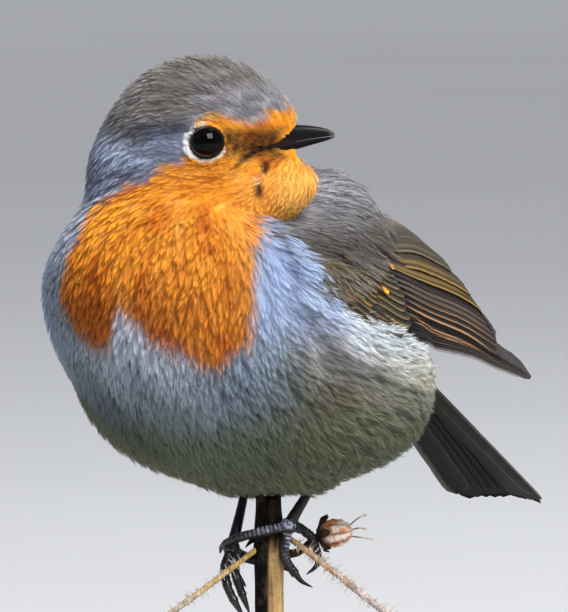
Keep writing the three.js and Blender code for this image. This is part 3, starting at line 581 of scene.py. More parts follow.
def noise(node, link, scale, detail=4, rough=0.6, vec=None, stretch=None):
    n = node("ShaderNodeTexNoise", Scale=scale, Detail=detail, Roughness=rough)
    if vec is not None:
        if stretch is not None:
            m = node("ShaderNodeMapping")
            m.inputs["Scale"].default_value = stretch
            link(vec, m.inputs["Vector"])
            vec = m.outputs[0]
        link(vec, n.inputs["Vector"])
    return n.outputs["Fac"]


def bumped(node, link, b, height, strength, distance):
    n = node("ShaderNodeBump")
    n.inputs["Strength"].default_value = strength
    n.inputs["Distance"].default_value = distance
    link(height, n.inputs["Height"])
    link(n.outputs[0], b.inputs["Normal"])
    return n


def span(node, link, value, lo, hi, a=0.0, z=1.0):
    n = node("ShaderNodeMapRange")
    n.inputs["From Min"].default_value = lo; n.inputs["From Max"].default_value = hi
    n.inputs["To Min"].default_value = a; n.inputs["To Max"].default_value = z
    link(value, n.inputs["Value"])
    return n.outputs[0]


def plumage(rough=0.78, sheen=0.07, bump=0.15, scale=1800, spec=0.13):
    def build(nt, b, node, link):
        at = node("ShaderNodeAttribute", attribute_name="plumage")
        tc = node("ShaderNodeTexCoord").outputs["Object"]
        n1 = noise(node, link, scale, 5, 0.65, tc)
        n2 = noise(node, link, scale * 0.13, 3, 0.5, tc)
        c = mixed(node, link, span(node, link, n1, 0.35, 0.75, 0.0, 0.15), at.outputs["Color"], (0.02, 0.016, 0.012), "MIX")
        c = mixed(node, link, span(node, link, n2, 0.4, 0.7, 0.0, 0.12), c, (0.9, 0.88, 0.85), "SOFT_LIGHT")
        link(c, b.inputs["Base Color"])
        link(span(node, link, n1, 0.3, 0.7, rough - 0.1, rough + 0.12), b.inputs["Roughness"])
        b.inputs["Specular IOR Level"].default_value = spec
        b.inputs["Sheen Weight"].default_value = sheen
        b.inputs["Sheen Roughness"].default_value = 0.4
        bumped(node, link, b, n1, bump, 0.0003)
    return build


MAT_COAT = material("plumage_coat", plumage())
MAT_SKIN = material("plumage_skin", plumage(0.85, 0.1, 0.5, 900, 0.1))

# ------------------------------------------------------------------ the one skin
BILL_BASE = in_head(16.2, 0, -1.4)
EYE_A, EYE_U, EYE_R, EYE_SHOWN = 2.4, 1.7, 3.0, 2.55


def _eye_r():
    s = np.linspace(6, 15, 901)
    f = head_form(np.array([in_head(EYE_A, q, EYE_U) for q in s]))
    return s[np.argmax(f > 0)]


EYE_OUT = _eye_r()
EYES = {side: in_head(EYE_A, side * (EYE_OUT - math.sqrt(EYE_R ** 2 - EYE_SHOWN ** 2)), EYE_U) for side in (1, -1)}


def depth(P):
    """The coat's depth: thin round the bill and the eyes, deepest on the belly."""
    d = np.sqrt(((P - BILL_BASE) ** 2).sum(-1))
    out = lerp(0.55, 1.45, ramp(d, 4, 17))
    out = lerp(out, 1.9, ramp(d, 26, 44))
    for c in EYES.values():
        e = np.sqrt(((P - c) ** 2).sum(-1))
        out = lerp(0.62, out, ramp(e, 3.6, 7.5))
    return out


def beside_bill(P):
    """Over 0 outside a wedge that narrows to the bill: the face draws in to its sides."""
    h = P - H0
    a, r, u = h @ HA, np.abs(h @ HR), h @ HU
    back = 1.25 * np.clip(u - 0.4, 0, 2.9) + 1.5 * np.clip(-0.9 - u, 0, 3.0)
    w = np.interp(a - back, [5.5, 7.5, 9.5, 11.0, 12.6, 13.6, 15.5, 18.0], [11.5, 8.4, 5.8, 3.7, 1.7, 0.9, 0.8, 0.7])
    w = w + 1.6 * np.clip(np.abs(u - 0.5) - 3.2, 0, 9)
    return (r - w) * 0.75


def tuck(P):
    """Where the skin draws in further, behind and below, so that the coat ends higher there."""
    return 1.3 * ramp(-P[:, 2], 17, 25) * ramp(0.819 * np.abs(P[:, 0]) + 0.574 * P[:, 1], 11, 17)


def skin_form(P):
    d = depth(P) + tuck(P)
    h = -melt(-head_form(P) - d, -beside_bill(P), 1.0)
    f = melt(trunk_form(P) + d, h, 2.4)
    for c in THIGHS:
        f = melt(f, np.sqrt(((P - np.array(c)) ** 2).sum(-1)) - 5.2 + d, 6.0)
    return f


def cast(centre, f, directions, far=70.0):
    lo, hi = np.zeros(len(directions)), np.full(len(directions), far)
    for _ in range(24):
        mid = (lo + hi) / 2
        inside = f(centre + directions * mid[:, None]) < 0
        lo, hi = np.where(inside, mid, lo), np.where(inside, hi, mid)
    return centre + directions * lo[:, None]


def make_skin():
    import bmesh
    bm = bmesh.new()
    for centre, f in ((np.array([0.0, 1.0, -1.0]), lambda P: trunk_form(P) + 1.4), (H0, lambda P: head_form(P) + 1.2)):
        part = bmesh.new()
        bmesh.ops.create_icosphere(part, subdivisions=6, radius=1.0)
        part.verts.ensure_lookup_table()
        d = unit(np.array([v.co[:] for v in part.verts]))
        p = cast(centre, f, d)
        for v, q in zip(part.verts, p):
            v.co = q
        tmp = bpy.data.meshes.new("tmp"); part.to_mesh(tmp); bm.from_mesh(tmp); bpy.data.meshes.remove(tmp); part.free()
    me = bpy.data.meshes.new("skin"); bm.to_mesh(me); bm.free()
    ob = bpy.data.objects.new("skin_tmp", me)
    bpy.context.scene.collection.objects.link(ob)
    bpy.context.view_layer.objects.active = ob
    mod = ob.modifiers.new("r", "REMESH"); mod.mode = "VOXEL"; mod.voxel_size = 0.62
    done = bpy.data.meshes.new_from_object(ob.evaluated_get(bpy.context.evaluated_depsgraph_get()))
    V = np.empty(len(done.vertices) * 3, np.float32); done.vertices.foreach_get("co", V); V = V.reshape(-1, 3).astype(float)
    nl = len(done.loops)
    loops = np.empty(nl, np.int32); done.loops.foreach_get("vertex_index", loops)
    sizes = np.empty(len(done.polygons), np.int32); done.polygons.foreach_get("loop_total", sizes)
    bpy.data.objects.remove(ob); bpy.data.meshes.remove(me); bpy.data.meshes.remove(done)
    V, N = to_level(V, 0.0, skin_form, 3)
    N, _ = slope(V, skin_form)
    starts = np.concatenate([[0], np.cumsum(sizes)[:-1]])
    face_of = np.repeat(np.arange(len(sizes)), sizes)
    FN = np.add.reduceat(N[loops], starts) / sizes[:, None]
    FP = np.add.reduceat(V[loops], starts) / sizes[:, None]
    head = head_form(FP) < trunk_form(FP)
    uv = chart(V[loops], FN[face_of], head[face_of])
    # painted shade: the skin a little darker than the coat over it, for the gaps between the feathers
    C = marks(V) * 0.92
    skin = mesh_of("skin", V, loops, sizes, uv, C)
    skin.data.materials.append(MAT_SKIN)
    return skin, V, N, FP, FN, sizes


skin, SV, SN, FP, FN, SIZES = make_skin()
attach(skin, "root")
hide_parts("head", "neck", "trunk", "rump", "thigh_left", "thigh_right")


# ------------------------------------------------------------------ which way the coat lies
def flow(P):
    x, y, z = P[:, 0], P[:, 1], P[:, 2]
    fh = unit(P - BILL_BASE)
    h = P - H0
    # behind the face the head's feathers turn down the neck
    a = h @ HA
    fh = unit(fh + np.array([0, 0, -1.0]) * (0.55 * ramp(-a, 0, 14))[:, None])
    fb = unit(P - np.array([1.5, -9.0, 17.0]))
    fl = np.array([0.0, 0.86, -0.44])
    back = np.stack([0.5 * np.tanh(x / 6), 0.75 + 0 * x, -0.55 + 0.4 * ramp(y, 20, 34)], -1)
    k = (ramp(z, 0, 7) * ramp(y, -16, -8))[:, None]
    fl = fl * (1 - k) + back * k
    w = ramp(y, -27, -6)[:, None]
    body = unit(fb * (1 - w) + fl * w)
    hw = ramp(trunk_form(P) - head_form(P), -3.0, 2.0)[:, None]
    out = unit(body * (1 - hw) + fh * hw)
    for c in EYES.values():  # the feathers part round the eye
        e = P - c
        d = np.sqrt((e * e).sum(-1, keepdims=True))
        er = e / (d + 1e-9)
        k = np.exp(-((np.maximum(d, 2.6) - 2.6) / 2.6) ** 2)
        inward = np.minimum((out * er).sum(-1, keepdims=True), 0)
        out = unit(out - er * inward * k * 1.25)
    return out


def wing_cover(P):
    """How deep under a folded wing a place on the body lies: over 0 where a wing hides it."""
    tree, info = _wing_tree
    out = np.full(len(P), -9.0)
    for i, p in enumerate(P.tolist()):
        _, j, d = tree.find(p)
        a, b = info[j]
        if d < 5.5:
            out[i] = min(a - 1.5 + 6.0 * min(1.0, max(0.0, (b - 1.2) / 3.0)), b - 0.4, top_of_wing(a) - 3.5 - b, 62 - a)
    return out


def top_of_wing(a):
    a = np.asarray(a, float)
    front = 7 + 16.5 * np.sin(np.minimum(1, a / 28) * 1.4)
    rear = 23.6 - 16.8 * (np.maximum(a - 33, 0) / 26) ** 1.7
    return np.where(a < 33, front, np.maximum(rear, 2))


def _wing_points():
    pts, info = [], []
    for side in (1, -1):
        aa, bb = np.meshgrid(np.arange(-4, 66, 1.5), np.arange(-2, 26, 1.5), indexing="ij")
        q = wing_point(side, aa.ravel(), bb.ravel(), np.full(aa.size, -1.0))
        pts.append(q); info += list(zip(aa.ravel(), bb.ravel()))
    pts = np.vstack(pts)
    tree = KDTree(len(pts))
    for i, p in enumerate(pts.tolist()):
        tree.insert(p, i)
    tree.balance()
    return tree, info


_wing_tree = _wing_points()


# ------------------------------------------------------------------ the body's coat
coat = Coat()


def candidates(n):
    area = rng.random(n)  # faces of the remesh are all about one size
    f = rng.integers(0, len(FP), n)
    j = FP[f] + rng.normal(0, 0.28, (n, 3))
    return to_level(j, 0.0, skin_form, 2)


def swerved(turn):
    """The lie of the coat, each feather turned a little from it. turn is an angle for each feather."""
    def f(P):
        d = flow(P)
        k = turn if len(turn) == len(P) else np.repeat(turn, len(P) // len(turn))
        n, _ = slope(P, skin_form)
        return d * np.cos(k)[:, None] + np.cross(n, d) * np.sin(k)[:, None]
    return f


def grow_body():
    P, N = candidates(150000)
    hw = ramp(trunk_form(P) - head_form(P), -1.5, 1.5)
    h = P - H0
    a, r, u = h @ HA, h @ HR, h @ HU
    db = np.sqrt(((P - BILL_BASE) ** 2).sum(1))
    de = np.minimum(*[np.sqrt(((P - c) ** 2).sum(1)) for c in EYES.values()])
    x, y, z = P.T
    gap_h = lerp(0.54, 0.86, ramp(db, 3, 22))
    gap_h = np.minimum(gap_h, lerp(0.54, 0.86, ramp(de, 3.5, 8)))
    gap_t = lerp(0.86, 1.05, ramp(y, -25, 0))
    gap = lerp(gap_t, gap_h, hw)
    ok = de > 3.35
    # nothing grows inside the bill
    bill = (a > 11.8) & (np.abs(r) < 1.75) & (u > -1.8) & (u < 2.5)
    ok &= ~bill
    ok &= wing_cover(P) < 0
    root = P - np.array([0.5, 32.3, -1.6])
    tail_al = np.array([0.02628579, 0.80784998, -0.58880172])
    ok &= (root @ tail_al) < 2.0
    P, N, gap = P[ok], N[ok], gap[ok]
    keep = scatter(P, gap)
    P, N = P[keep], N[keep]
    x, y, z = P.T
    hw = ramp(trunk_form(P) - head_form(P), -1.5, 1.5)
    h = P - H0
    a, r, u = h @ HA, h @ HR, h @ HU
    db = np.sqrt(((P - BILL_BASE) ** 2).sum(1))
    de = np.minimum(*[np.sqrt(((P - c) ** 2).sum(1)) for c in EYES.values()])
    Lh = lerp(1.7, 4.9, ramp(db, 2, 24))
    Lh = np.minimum(Lh, lerp(2.2, 7, ramp(de, 3.5, 9)))
    Lt = lerp(6.2, 7.6, ramp(y, -28, 0))
    Lt = np.where(y > 22, 9.5, Lt)
    L = lerp(Lt, Lh, hw) * rng.uniform(0.88, 1.12, len(P))
    # feathers before an eye stop short of it
    for _ in range(3):
        end, _n = to_level(P + unit(flow(P)) * L[:, None], 0.0, skin_form, 1)
        mid, _n = to_level(P + unit(flow(P)) * L[:, None] * 0.55, 0.0, skin_form, 1)
        near = np.minimum(*[np.minimum(np.sqrt(((end - c) ** 2).sum(1)), np.sqrt(((mid - c) ** 2).sum(1))) for c in EYES.values()])
        L = np.where((near < 3.45) & (de < 7), L * 0.72, L)
    W = L * 0.3
    turn = rng.normal(0, 0.13, len(P))
    high = depth(P) + lerp(0.1, 0.0, hw)
    high = np.maximum(np.minimum(high, 0.7), high - 1.5 * ramp(z, 12, 17) * ramp(y, 8, 16) * ramp(np.abs(x), 3, 8))
    head_mask = hw > 0.5
    uv = chart(P, N, head_form(P) < trunk_form(P))
    upper = (y * 0.75 + z * 0.85) > 15
    sets = []
    size = [("face", head_mask & (L < 3.4), 14, 0.085, 26), ("crown", head_mask & (L >= 3.4), 18, 0.095, 26)]
    body = ~head_mask
    size += [("breast", body & ~upper & (y < -12), 27, 0.09, 28), ("flank", body & ~upper & (y >= -12) & (z > -18), 30, 0.09, 26),
             ("belly", body & ~upper & (y >= -12) & (z <= -18), 26, 0.10, 28), ("back", body & upper, 27, 0.10, 24)]
    for name, m, barbs, thick, spread in size:
        if not m.any():
            continue
        Pp, Nn = trace(P[m], swerved(turn[m]), L[m], W[m], level=0.0, f=skin_form)
        small = name in ("face", "crown")
        coat.add("coat_" + name, Pp, Nn, L[m], W[m], uv[m], barbs=barbs, thick=thick, spread=spread, reach=0.5, high=high[m], colour=marks,
                 wild=0.05 if small else {"breast": 0.035}.get(name, 0.1), curl=0.1 if small else 0.15,
                 clump={"face": 0.05, "crown": 0.1, "breast": 0.045}.get(name, 0.16), dark={"breast": 0.9}.get(name, 0.8))


grow_body()

# ------------------------------------------------------------------ wings and tail
class Vanes:
    """Single long feathers: a thin closed blade with its own shaft, laid on a sheet surf(u, v, out)."""
    STATIONS = np.array([-1, -0.9, -0.74, -0.5, -0.22, 0, 0.22, 0.5, 0.74, 0.9, 1.0])

    def __init__(self):
        self.parts = {}
        self.count = 0

    def add(self, group, surf, root, tip, outer, inner, style, bow=0.0, tilt=0.8, rise=0.12, blunt=0.16, nt=30, thick=0.09, camber=0.0,
            layer=0.0, shaft_r=0.13, tone=1.0, sink=0.0):
        g = rng
        t = np.linspace(0, 1, nt) ** 0.92
        root, tip = np.array(root, float), np.array(tip, float)
        L = np.linalg.norm(tip - root)
        along = (tip - root) / L
        across = np.array([-along[1], along[0]])
        if across[1] < 0:
            across = -across
        # the shaft bows a little; widths swell from the quill and round off at the tip
        line = root + (tip - root) * t[:, None] + across * (bow * np.sin(math.pi * t))[:, None]
        swell = 0.35 + 0.65 * ramp(t, 0.0, 0.25)
        end = np.where(t > 1 - blunt, np.sqrt(np.maximum(0, 1 - ((t - 1 + blunt) / blunt) ** 2)), 1.0)
        env = swell * end
        ws = self.STATIONS
        frayed = 1 + g.normal(0, 0.018, (nt, 2))
        half = np.where(ws[None] < 0, outer * env[:, None] * frayed[:, :1], inner * env[:, None] * frayed[:, 1:])
        wmm = ws[None] * half  # signed: outer web negative
        # barbs sweep forward, so the webs end further out than the shaft's own points
        fwd = np.abs(wmm) * 0.55 * np.clip(1 - t, 0, 1)[:, None] ** 0.3 * (end[:, None] ** 0.5)
        U = line[:, None, 0] + along[0] * fwd + across[0] * wmm
        Vv = line[:, None, 1] + along[1] * fwd + across[1] * wmm
        total = outer + inner
        out = layer + rise - tilt * (wmm + outer) / total - camber * (wmm / max(outer, inner)) ** 2 + 0.10 * np.exp(-(wmm / 0.35) ** 2)
        out = out - sink * np.clip(1 - t[:, None] / 0.42, 0, 1) ** 1.3
        top = surf(U, Vv, out)
        bottom = surf(U, Vv, out - thick)
        nw = len(ws)
        V = np.concatenate([top.reshape(-1, 3), bottom.reshape(-1, 3)])
        i = np.arange(nt - 1)[:, None] * nw + np.arange(nw - 1)[None]
        i = i.ravel()
        up = np.stack([i, i + nw, i + nw + 1, i + 1], 1)
        o = nt * nw
        dn = np.stack([i + o, i + 1 + o, i + nw + 1 + o, i + nw + o], 1)
        ring = np.concatenate([np.arange(nw), np.arange(1, nt) * nw + nw - 1, (nt - 1) * nw + np.arange(nw - 2, -1, -1), np.arange(nt - 2, 0, -1) * nw])
        r2 = np.roll(ring, -1)
        rim = np.stack([ring, r2, r2 + o, ring + o], 1)
        quads = np.concatenate([up, dn, rim])
        # turn the blade right side out
        n_top = np.cross(top[1, nw // 2] - top[0, nw // 2], top[0, nw // 2 + 1] - top[0, nw // 2])
        outward = surf(U[:1, nw // 2], Vv[:1, nw // 2], np.array([1.0])) - surf(U[:1, nw // 2], Vv[:1, nw // 2], np.array([0.0]))
        face_n = np.cross(V[up[5, 1]] - V[up[5, 0]], V[up[5, 3]] - V[up[5, 0]])
        if (face_n * outward[0]).sum() < 0:
            quads = quads[:, ::-1]
        tt = np.broadcast_to(t[:, None], wmm.shape)
        C = style(tt, ws[None] + 0 * tt, wmm, half[:, -1:], half[:, :1], L) * tone * (1 + g.normal(0, 0.03))
        # slivers of tone along the barbs
        q = tt * L - np.abs(wmm) * 0.9
        # painted shade: the blade's underside a little darker than its upper face
        C2 = np.concatenate([C.reshape(-1, 3), C.reshape(-1, 3) * 0.8])
        ident = self.count * 7.31
        at = np.stack([q, wmm, np.full_like(q, ident)], -1).reshape(-1, 3)
        at = np.concatenate([at, at + np.array([0, 0, 3.0])])
        cell = self.count
        uvl = np.stack([(wmm + 0 * tt) / 14 + 0.5, tt], -1).reshape(-1, 2)
        uvb = uvl * [0.48, 1]
        UV = np.concatenate([uvb, uvb + [0.5, 0]])
        # the shaft
        ns = 12
        ts = np.linspace(0.0, 0.96, ns)
        lx = np.interp(ts, t, line[:, 0]); ly = np.interp(ts, t, line[:, 1])
        oo = np.interp(ts, t, out[:, 5])
        r = shaft_r * (1 - 0.72 * ts)
        c = surf(lx, ly, oo + 0.03)
        s1 = surf(lx + across[0] * r, ly + across[1] * r, oo + 0.0)
        s2 = surf(lx - across[0] * r, ly - across[1] * r, oo + 0.0)
        ridge = surf(lx, ly, oo + r * 1.1 + 0.03)
        base = surf(lx, ly, oo - thick * 0.5)
        S = np.stack([s1, ridge, s2, base], 1).reshape(-1, 3)
        j = np.arange(ns - 1)[:, None] * 4
        k = np.arange(4)[None]
        sq = np.stack([(j + k), (j + (k + 1) % 4), (j + 4 + (k + 1) % 4), (j + 4 + k)], -1).reshape(-1, 4)
        caps = np.array([[3, 2, 1, 0], [ns * 4 - 4, ns * 4 - 3, ns * 4 - 2, ns * 4 - 1]])
        sq = np.concatenate([sq, caps])
        nn = np.cross(S[sq[1, 1]] - S[sq[1, 0]], S[sq[1, 3]] - S[sq[1, 0]])
        mid = S[sq[1]].mean(0) - S[4:8].mean(0)
        if (nn * mid).sum() < 0:
            sq = sq[:, ::-1]
        SC = style(np.repeat(ts, 4), np.zeros(ns * 4), np.zeros(ns * 4), np.ones(ns * 4), np.ones(ns * 4), L) * 0.62
        sat = np.stack([np.repeat(ts * L, 4), np.zeros(ns * 4), np.full(ns * 4, ident + 5)], 1)
        SUV = np.stack([np.tile([0.97, 0.98, 0.99, 1.0], ns), np.repeat(ts, 4)], 1)
        self.parts.setdefault(group, []).append((V, quads, C2, at, UV, cell))
        self.parts[group].append((S, sq, SC, sat, SUV, cell))
        self.count += 1

    def build(self, material, slots, replaces):
        made = []
        for group, parts in self.parts.items():
            cells = sorted({p[5] for p in parts})
            side = math.ceil(math.sqrt(len(cells)))
            V, Q, C, A, UV, o = [], [], [], [], [], 0
            for v, q, c, a, uv, cell in parts:
                k = cells.index(cell)
                box = np.array([(k % side + 0.04) / side, (k // side + 0.03) / side])
                V.append(v); Q.append(q + o); C.append(c); A.append(a)
                UV.append((box + uv * (0.92 / side))[q].reshape(-1, 2))
                o += len(v)
            V, Q, C, A, UV = map(np.concatenate, (V, Q, C, A, UV))
            ob = mesh_of(group, V, Q.ravel(), np.full(len(Q), 4), UV, C, {"vane": A})
            ob.data.materials.append(material)
            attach(ob, "root")
            if replaces.get(group):
                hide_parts(*replaces[group])
            made.append(ob)
        return made


def _wing_surface():
    """How far out of the sheet the wing's outer face lies, on a grid of places along and up the wing."""
    A, B = np.meshgrid(np.arange(-10, 84.0), np.arange(-10, 32.0), indexing="ij")
    s = lambda x, a, b: ramp(x, a, b)
    v = np.clip(B / np.maximum(top_of_wing(A), 3), 0, 1.1)
    front = 0.6 + 1.7 * np.sin(math.pi * np.clip(v, 0, 1)) - 0.5 * s(A, 20, 33) + 3.4 * s(v, 0.55, 1) * s(A, 12, 24)
    rear = 0.2 + 1.1 * np.sin(math.pi * np.clip(v, 0, 1)) - 0.4 * s(A, 45, 59) + 3.2 * s(v, 0.5, 1) * (1 - s(A, 34, 52))
    out = lerp(front, rear, s(A, 26, 38))
    out = lerp(out, 0.3, s(A, 56, 66))
    out = out + 2.0 * s(v, 0.45, 1) * s(A, 31, 38) * (1 - s(A, 50, 62))
    for _ in range(60):
        p = wing_point(1, A, B, out).reshape(-1, 3)
        low = (trunk_form(p) < 0.7).reshape(A.shape)
        if not low.any():
            break
        out = np.where(low & (out < 9), out + 0.15, out)
    for _ in range(2):  # ease the steps
        pad = np.pad(out, 1, mode="edge")
        out = (pad[:-2, 1:-1] + pad[2:, 1:-1] + pad[1:-1, :-2] + pad[1:-1, 2:] + 2 * out) / 6
    return out


_WOUT = _wing_surface()


def wing_face(a, b):
    fa, fb = np.clip(np.asarray(a, float) + 10, 0, 92.99), np.clip(np.asarray(b, float) + 10, 0, 40.99)
    i, j = fa.astype(int), fb.astype(int)
    u, v = fa - i, fb - j
    return (_WOUT[i, j] * (1 - u) * (1 - v) + _WOUT[i + 1, j] * u * (1 - v) + _WOUT[i, j + 1] * (1 - u) * v + _WOUT[i + 1, j + 1] * u * v)


def wing_surf(side):
    return lambda a, b, out: wing_point(side, a, b, wing_face(a, b) + out)


QUILL_BLACK = srgb(9, 8, 7)
QUILL_DARK = srgb(24, 20, 17)
QUILL_GREY = srgb(66, 62, 63)
QUILL_BROWN = srgb(88, 75, 66)
FRINGE_BUFF = srgb(178, 136, 100)
FRINGE_DULL = srgb(104, 88, 70)
FRINGE_OLIVE = srgb(152, 122, 56)
FRINGE_PALE = srgb(142, 136, 136)
SPOT = srgb(250, 168, 40)


def edge_fade(w, wmm, half, mm):
    """1 at the margin of the web on w's side, 0 more than mm inside it."""
    return ramp(np.abs(wmm), np.abs(half) - mm, np.abs(half) - mm * 0.25)


def style_remex(fringe, width=0.42, tip_grey=0.5, depth=0.9, body=0.0, until=0.72):
    """body lightens the whole outer web; the fringe runs along the outer margin until that share of the length."""
    def f(t, w, wmm, hi, ho, L):
        half = np.where(w < 0, np.abs(ho), np.abs(hi))
        c = lerp(QUILL_BLACK, QUILL_BROWN, (body * (1 - ramp(w, -0.45, -0.15)) + 0.2 * ramp(w, 0.2, 1.0))[..., None])
        c = lerp(c, QUILL_GREY, (tip_grey * ramp(t, 0.66, 1.0))[..., None])
        e = edge_fade(w, wmm, half, width) * np.where(w < 0, 1.0, 0.2) * (1 - 0.8 * ramp(t, until, until + 0.22)) * ramp(t, 0.05, 0.2)
        return lerp(c, fringe, (e * depth)[..., None])
    return f


def style_tertial(bright):
    def f(t, w, wmm, hi, ho, L):
        half = np.where(w < 0, np.abs(ho), np.abs(hi))
        c = lerp(QUILL_DARK, QUILL_BROWN, (0.25 + 0.65 * ramp(np.abs(w), 0.35, 0.9) + 0.3 * ramp(t, 0.6, 1))[..., None])
        c = lerp(c, srgb(92, 76, 38), (0.6 * bright * ramp(-w, 0.1, 0.8))[..., None])
        c = lerp(c, OLIVE_WARM * 0.8, 0.4 * (1 - bright))
        for at_w in (-0.62, -0.2, 0.3, 0.62):
            c = lerp(c, QUILL_DARK, (0.7 * (1 - bright) * (1 - ramp(np.abs(w - at_w - 0.05 * np.sin(t * 9)), 0.03, 0.13)) * ramp(t, 0.1, 0.3))[..., None])
        for at_w, k in ((0.10, 0.7), (-0.52, 0.5)):
            c = lerp(c, FRINGE_OLIVE, (k * bright * (1 - ramp(np.abs(w - at_w), 0.03, 0.12)) * (1 - ramp(t, 0.6, 0.9)))[..., None])
        e = edge_fade(w, wmm, half, 0.5) * np.where(w < 0, 1.0, 0.5)
        c = lerp(c, QUILL_BLACK, (0.8 * (1 - ramp(np.abs(w + 0.74), 0.03, 0.13)))[..., None])
        return lerp(c, FRINGE_OLIVE, (e * bright)[..., None])
    return f


def style_covert(spot, fringe=FRINGE_OLIVE, amount=0.7):
    def f(t, w, wmm, hi, ho, L):
        half = np.where(w < 0, np.abs(ho), np.abs(hi))
        c = lerp(QUILL_DARK, OLIVE_WARM * 0.45, (0.2 + 0.5 * ramp(np.abs(w), 0.2, 1.0))[..., None])
        e = edge_fade(w, wmm, half, 0.55) * np.where(w < 0, 1.0, 0.25) * (1 - ramp(t, 0.84, 0.97))
        c = lerp(c, fringe, (e * amount)[..., None])
        c = lerp(c, QUILL_BLACK, (0.6 * ramp(t, 0.9, 1.0) * (1 - min(1, spot)))[..., None])
        s = min(1, spot) * ramp(t, 0.74, 0.84) * (1 - ramp(np.abs(w + 0.25), 0.6, 1.0))
        return lerp(c, SPOT, s[..., None])
    return f


def style_rectrix(outermost, painted_shade=1.0, side=1):
    def f(t, w, wmm, hi, ho, L):
        half = np.where(w < 0, np.abs(ho), np.abs(hi))
        c = lerp(srgb(20, 18, 15), srgb(40, 37, 33), (0.2 + 0.4 * ramp(w, 0, 1) + 0.35 * ramp(t, 0.5, 1))[..., None])
        c = c * painted_shade
        e = edge_fade(w, wmm, half, 1.25 if outermost else 0.4) * np.where(w < 0, 1.0, 0.2)
        # painted light: the fringe brighter on one half of the tail than the other
        return lerp(c, lerp(srgb(96, 80, 62), srgb(150, 145, 140), ramp(t, 0.3, 0.8)[..., None]) if outermost else srgb(54, 48, 38) * painted_shade, (e * (0.85 if side > 0 else 0.45))[..., None])
    return f


vanes = Vanes()

FLIGHT = [  # name, root (along, up) and tip of the outer margin, outer web, inner web, kind
    ("T1", (22, 18.5), (49, 14.9), 2.4, 4.9, "t"), ("T2", (20, 16.0), (54.5, 11.5), 2.6, 4.6, "t"), ("T3", (18, 13.6), (60.5, 9.1), 2.8, 4.8, "t"),
    ("S6", (18, 11.6), (62.5, 6.9), 1.7, 4.6, "s"), ("S5", (18, 10.2), (63.0, 5.9), 1.5, 4.4, "s"), ("S4", (18, 8.9), (62.0, 4.9), 1.5, 4.3, "s"),
    ("S3", (18, 7.6), (61.0, 4.0), 1.4, 4.2, "s"), ("S2", (18, 6.3), (60.0, 3.0), 1.4, 4.1, "s"), ("S1", (17, 5.2), (59.5, 1.6), 1.3, 4.0, "s"),
    ("P1", (17, 3.9), (61.0, 0.5), 1.3, 3.8, "p"), ("P2", (17, 3.0), (63.0, 0.2), 1.25, 3.7, "p"), ("P3", (17, 2.4), (65.5, 0.3), 1.2, 3.6, "p"),
    ("P4", (16, 1.8), (68.0, 0.2), 1.15, 3.4, "p"), ("P5", (16, 1.3), (70.6, 0.2), 1.1, 3.2, "p"), ("P6", (16, 0.8), (72.4, 0.0), 1.0, 3.0, "p"),
    ("P7", (16, 0.2), (73.0, -0.2), 0.95, 2.8, "p"), ("P8", (15, -0.4), (71.6, -0.5), 0.9, 2.6, "p"), ("P9", (15, -0.9), (67.5, -0.8), 0.9, 2.4, "p"),
]
REMEX = {
    "S6": style_remex(FRINGE_DULL, 0.35, 0.5, 0.3, 0.1), "S5": style_remex(FRINGE_DULL, 0.35, 0.5, 0.8, 0.75), "S4": style_remex(FRINGE_DULL, 0.35, 0.5, 0.85, 0.8),
    "S3": style_remex(FRINGE_BUFF, 0.4, 0.5, 0.6, 0.5), "S2": style_remex(FRINGE_BUFF, 0.45, 0.45, 0.7, 0.1), "S1": style_remex(FRINGE_BUFF, 0.62, 0.45, 1.0, 0.0),
    "P1": style_remex(FRINGE_BUFF, 0.62, 0.5, 1.0, 0.0, 0.6), "P2": style_remex(FRINGE_BUFF, 0.55, 0.6, 0.95, 0.0, 0.42), "P3": style_remex(FRINGE_DULL, 0.3, 0.7, 0.3, 0.0),
    "P4": style_remex(FRINGE_DULL, 0.3, 0.7, 0.2, 0.0), "P5": style_remex(FRINGE_DULL, 0.3, 0.7, 0.2, 0.0), "P6": style_remex(FRINGE_PALE, 0.3, 0.7, 0.3, 0.0),
    "P7": style_remex(FRINGE_DULL, 0.3, 0.6, 0.3, 0.0, 1.2), "P8": style_remex(FRINGE_PALE, 0.35, 0.5, 0.5, 0.0, 1.2), "P9": style_remex(FRINGE_PALE, 0.62, 0.4, 1.0, 0.2, 1.2),
}


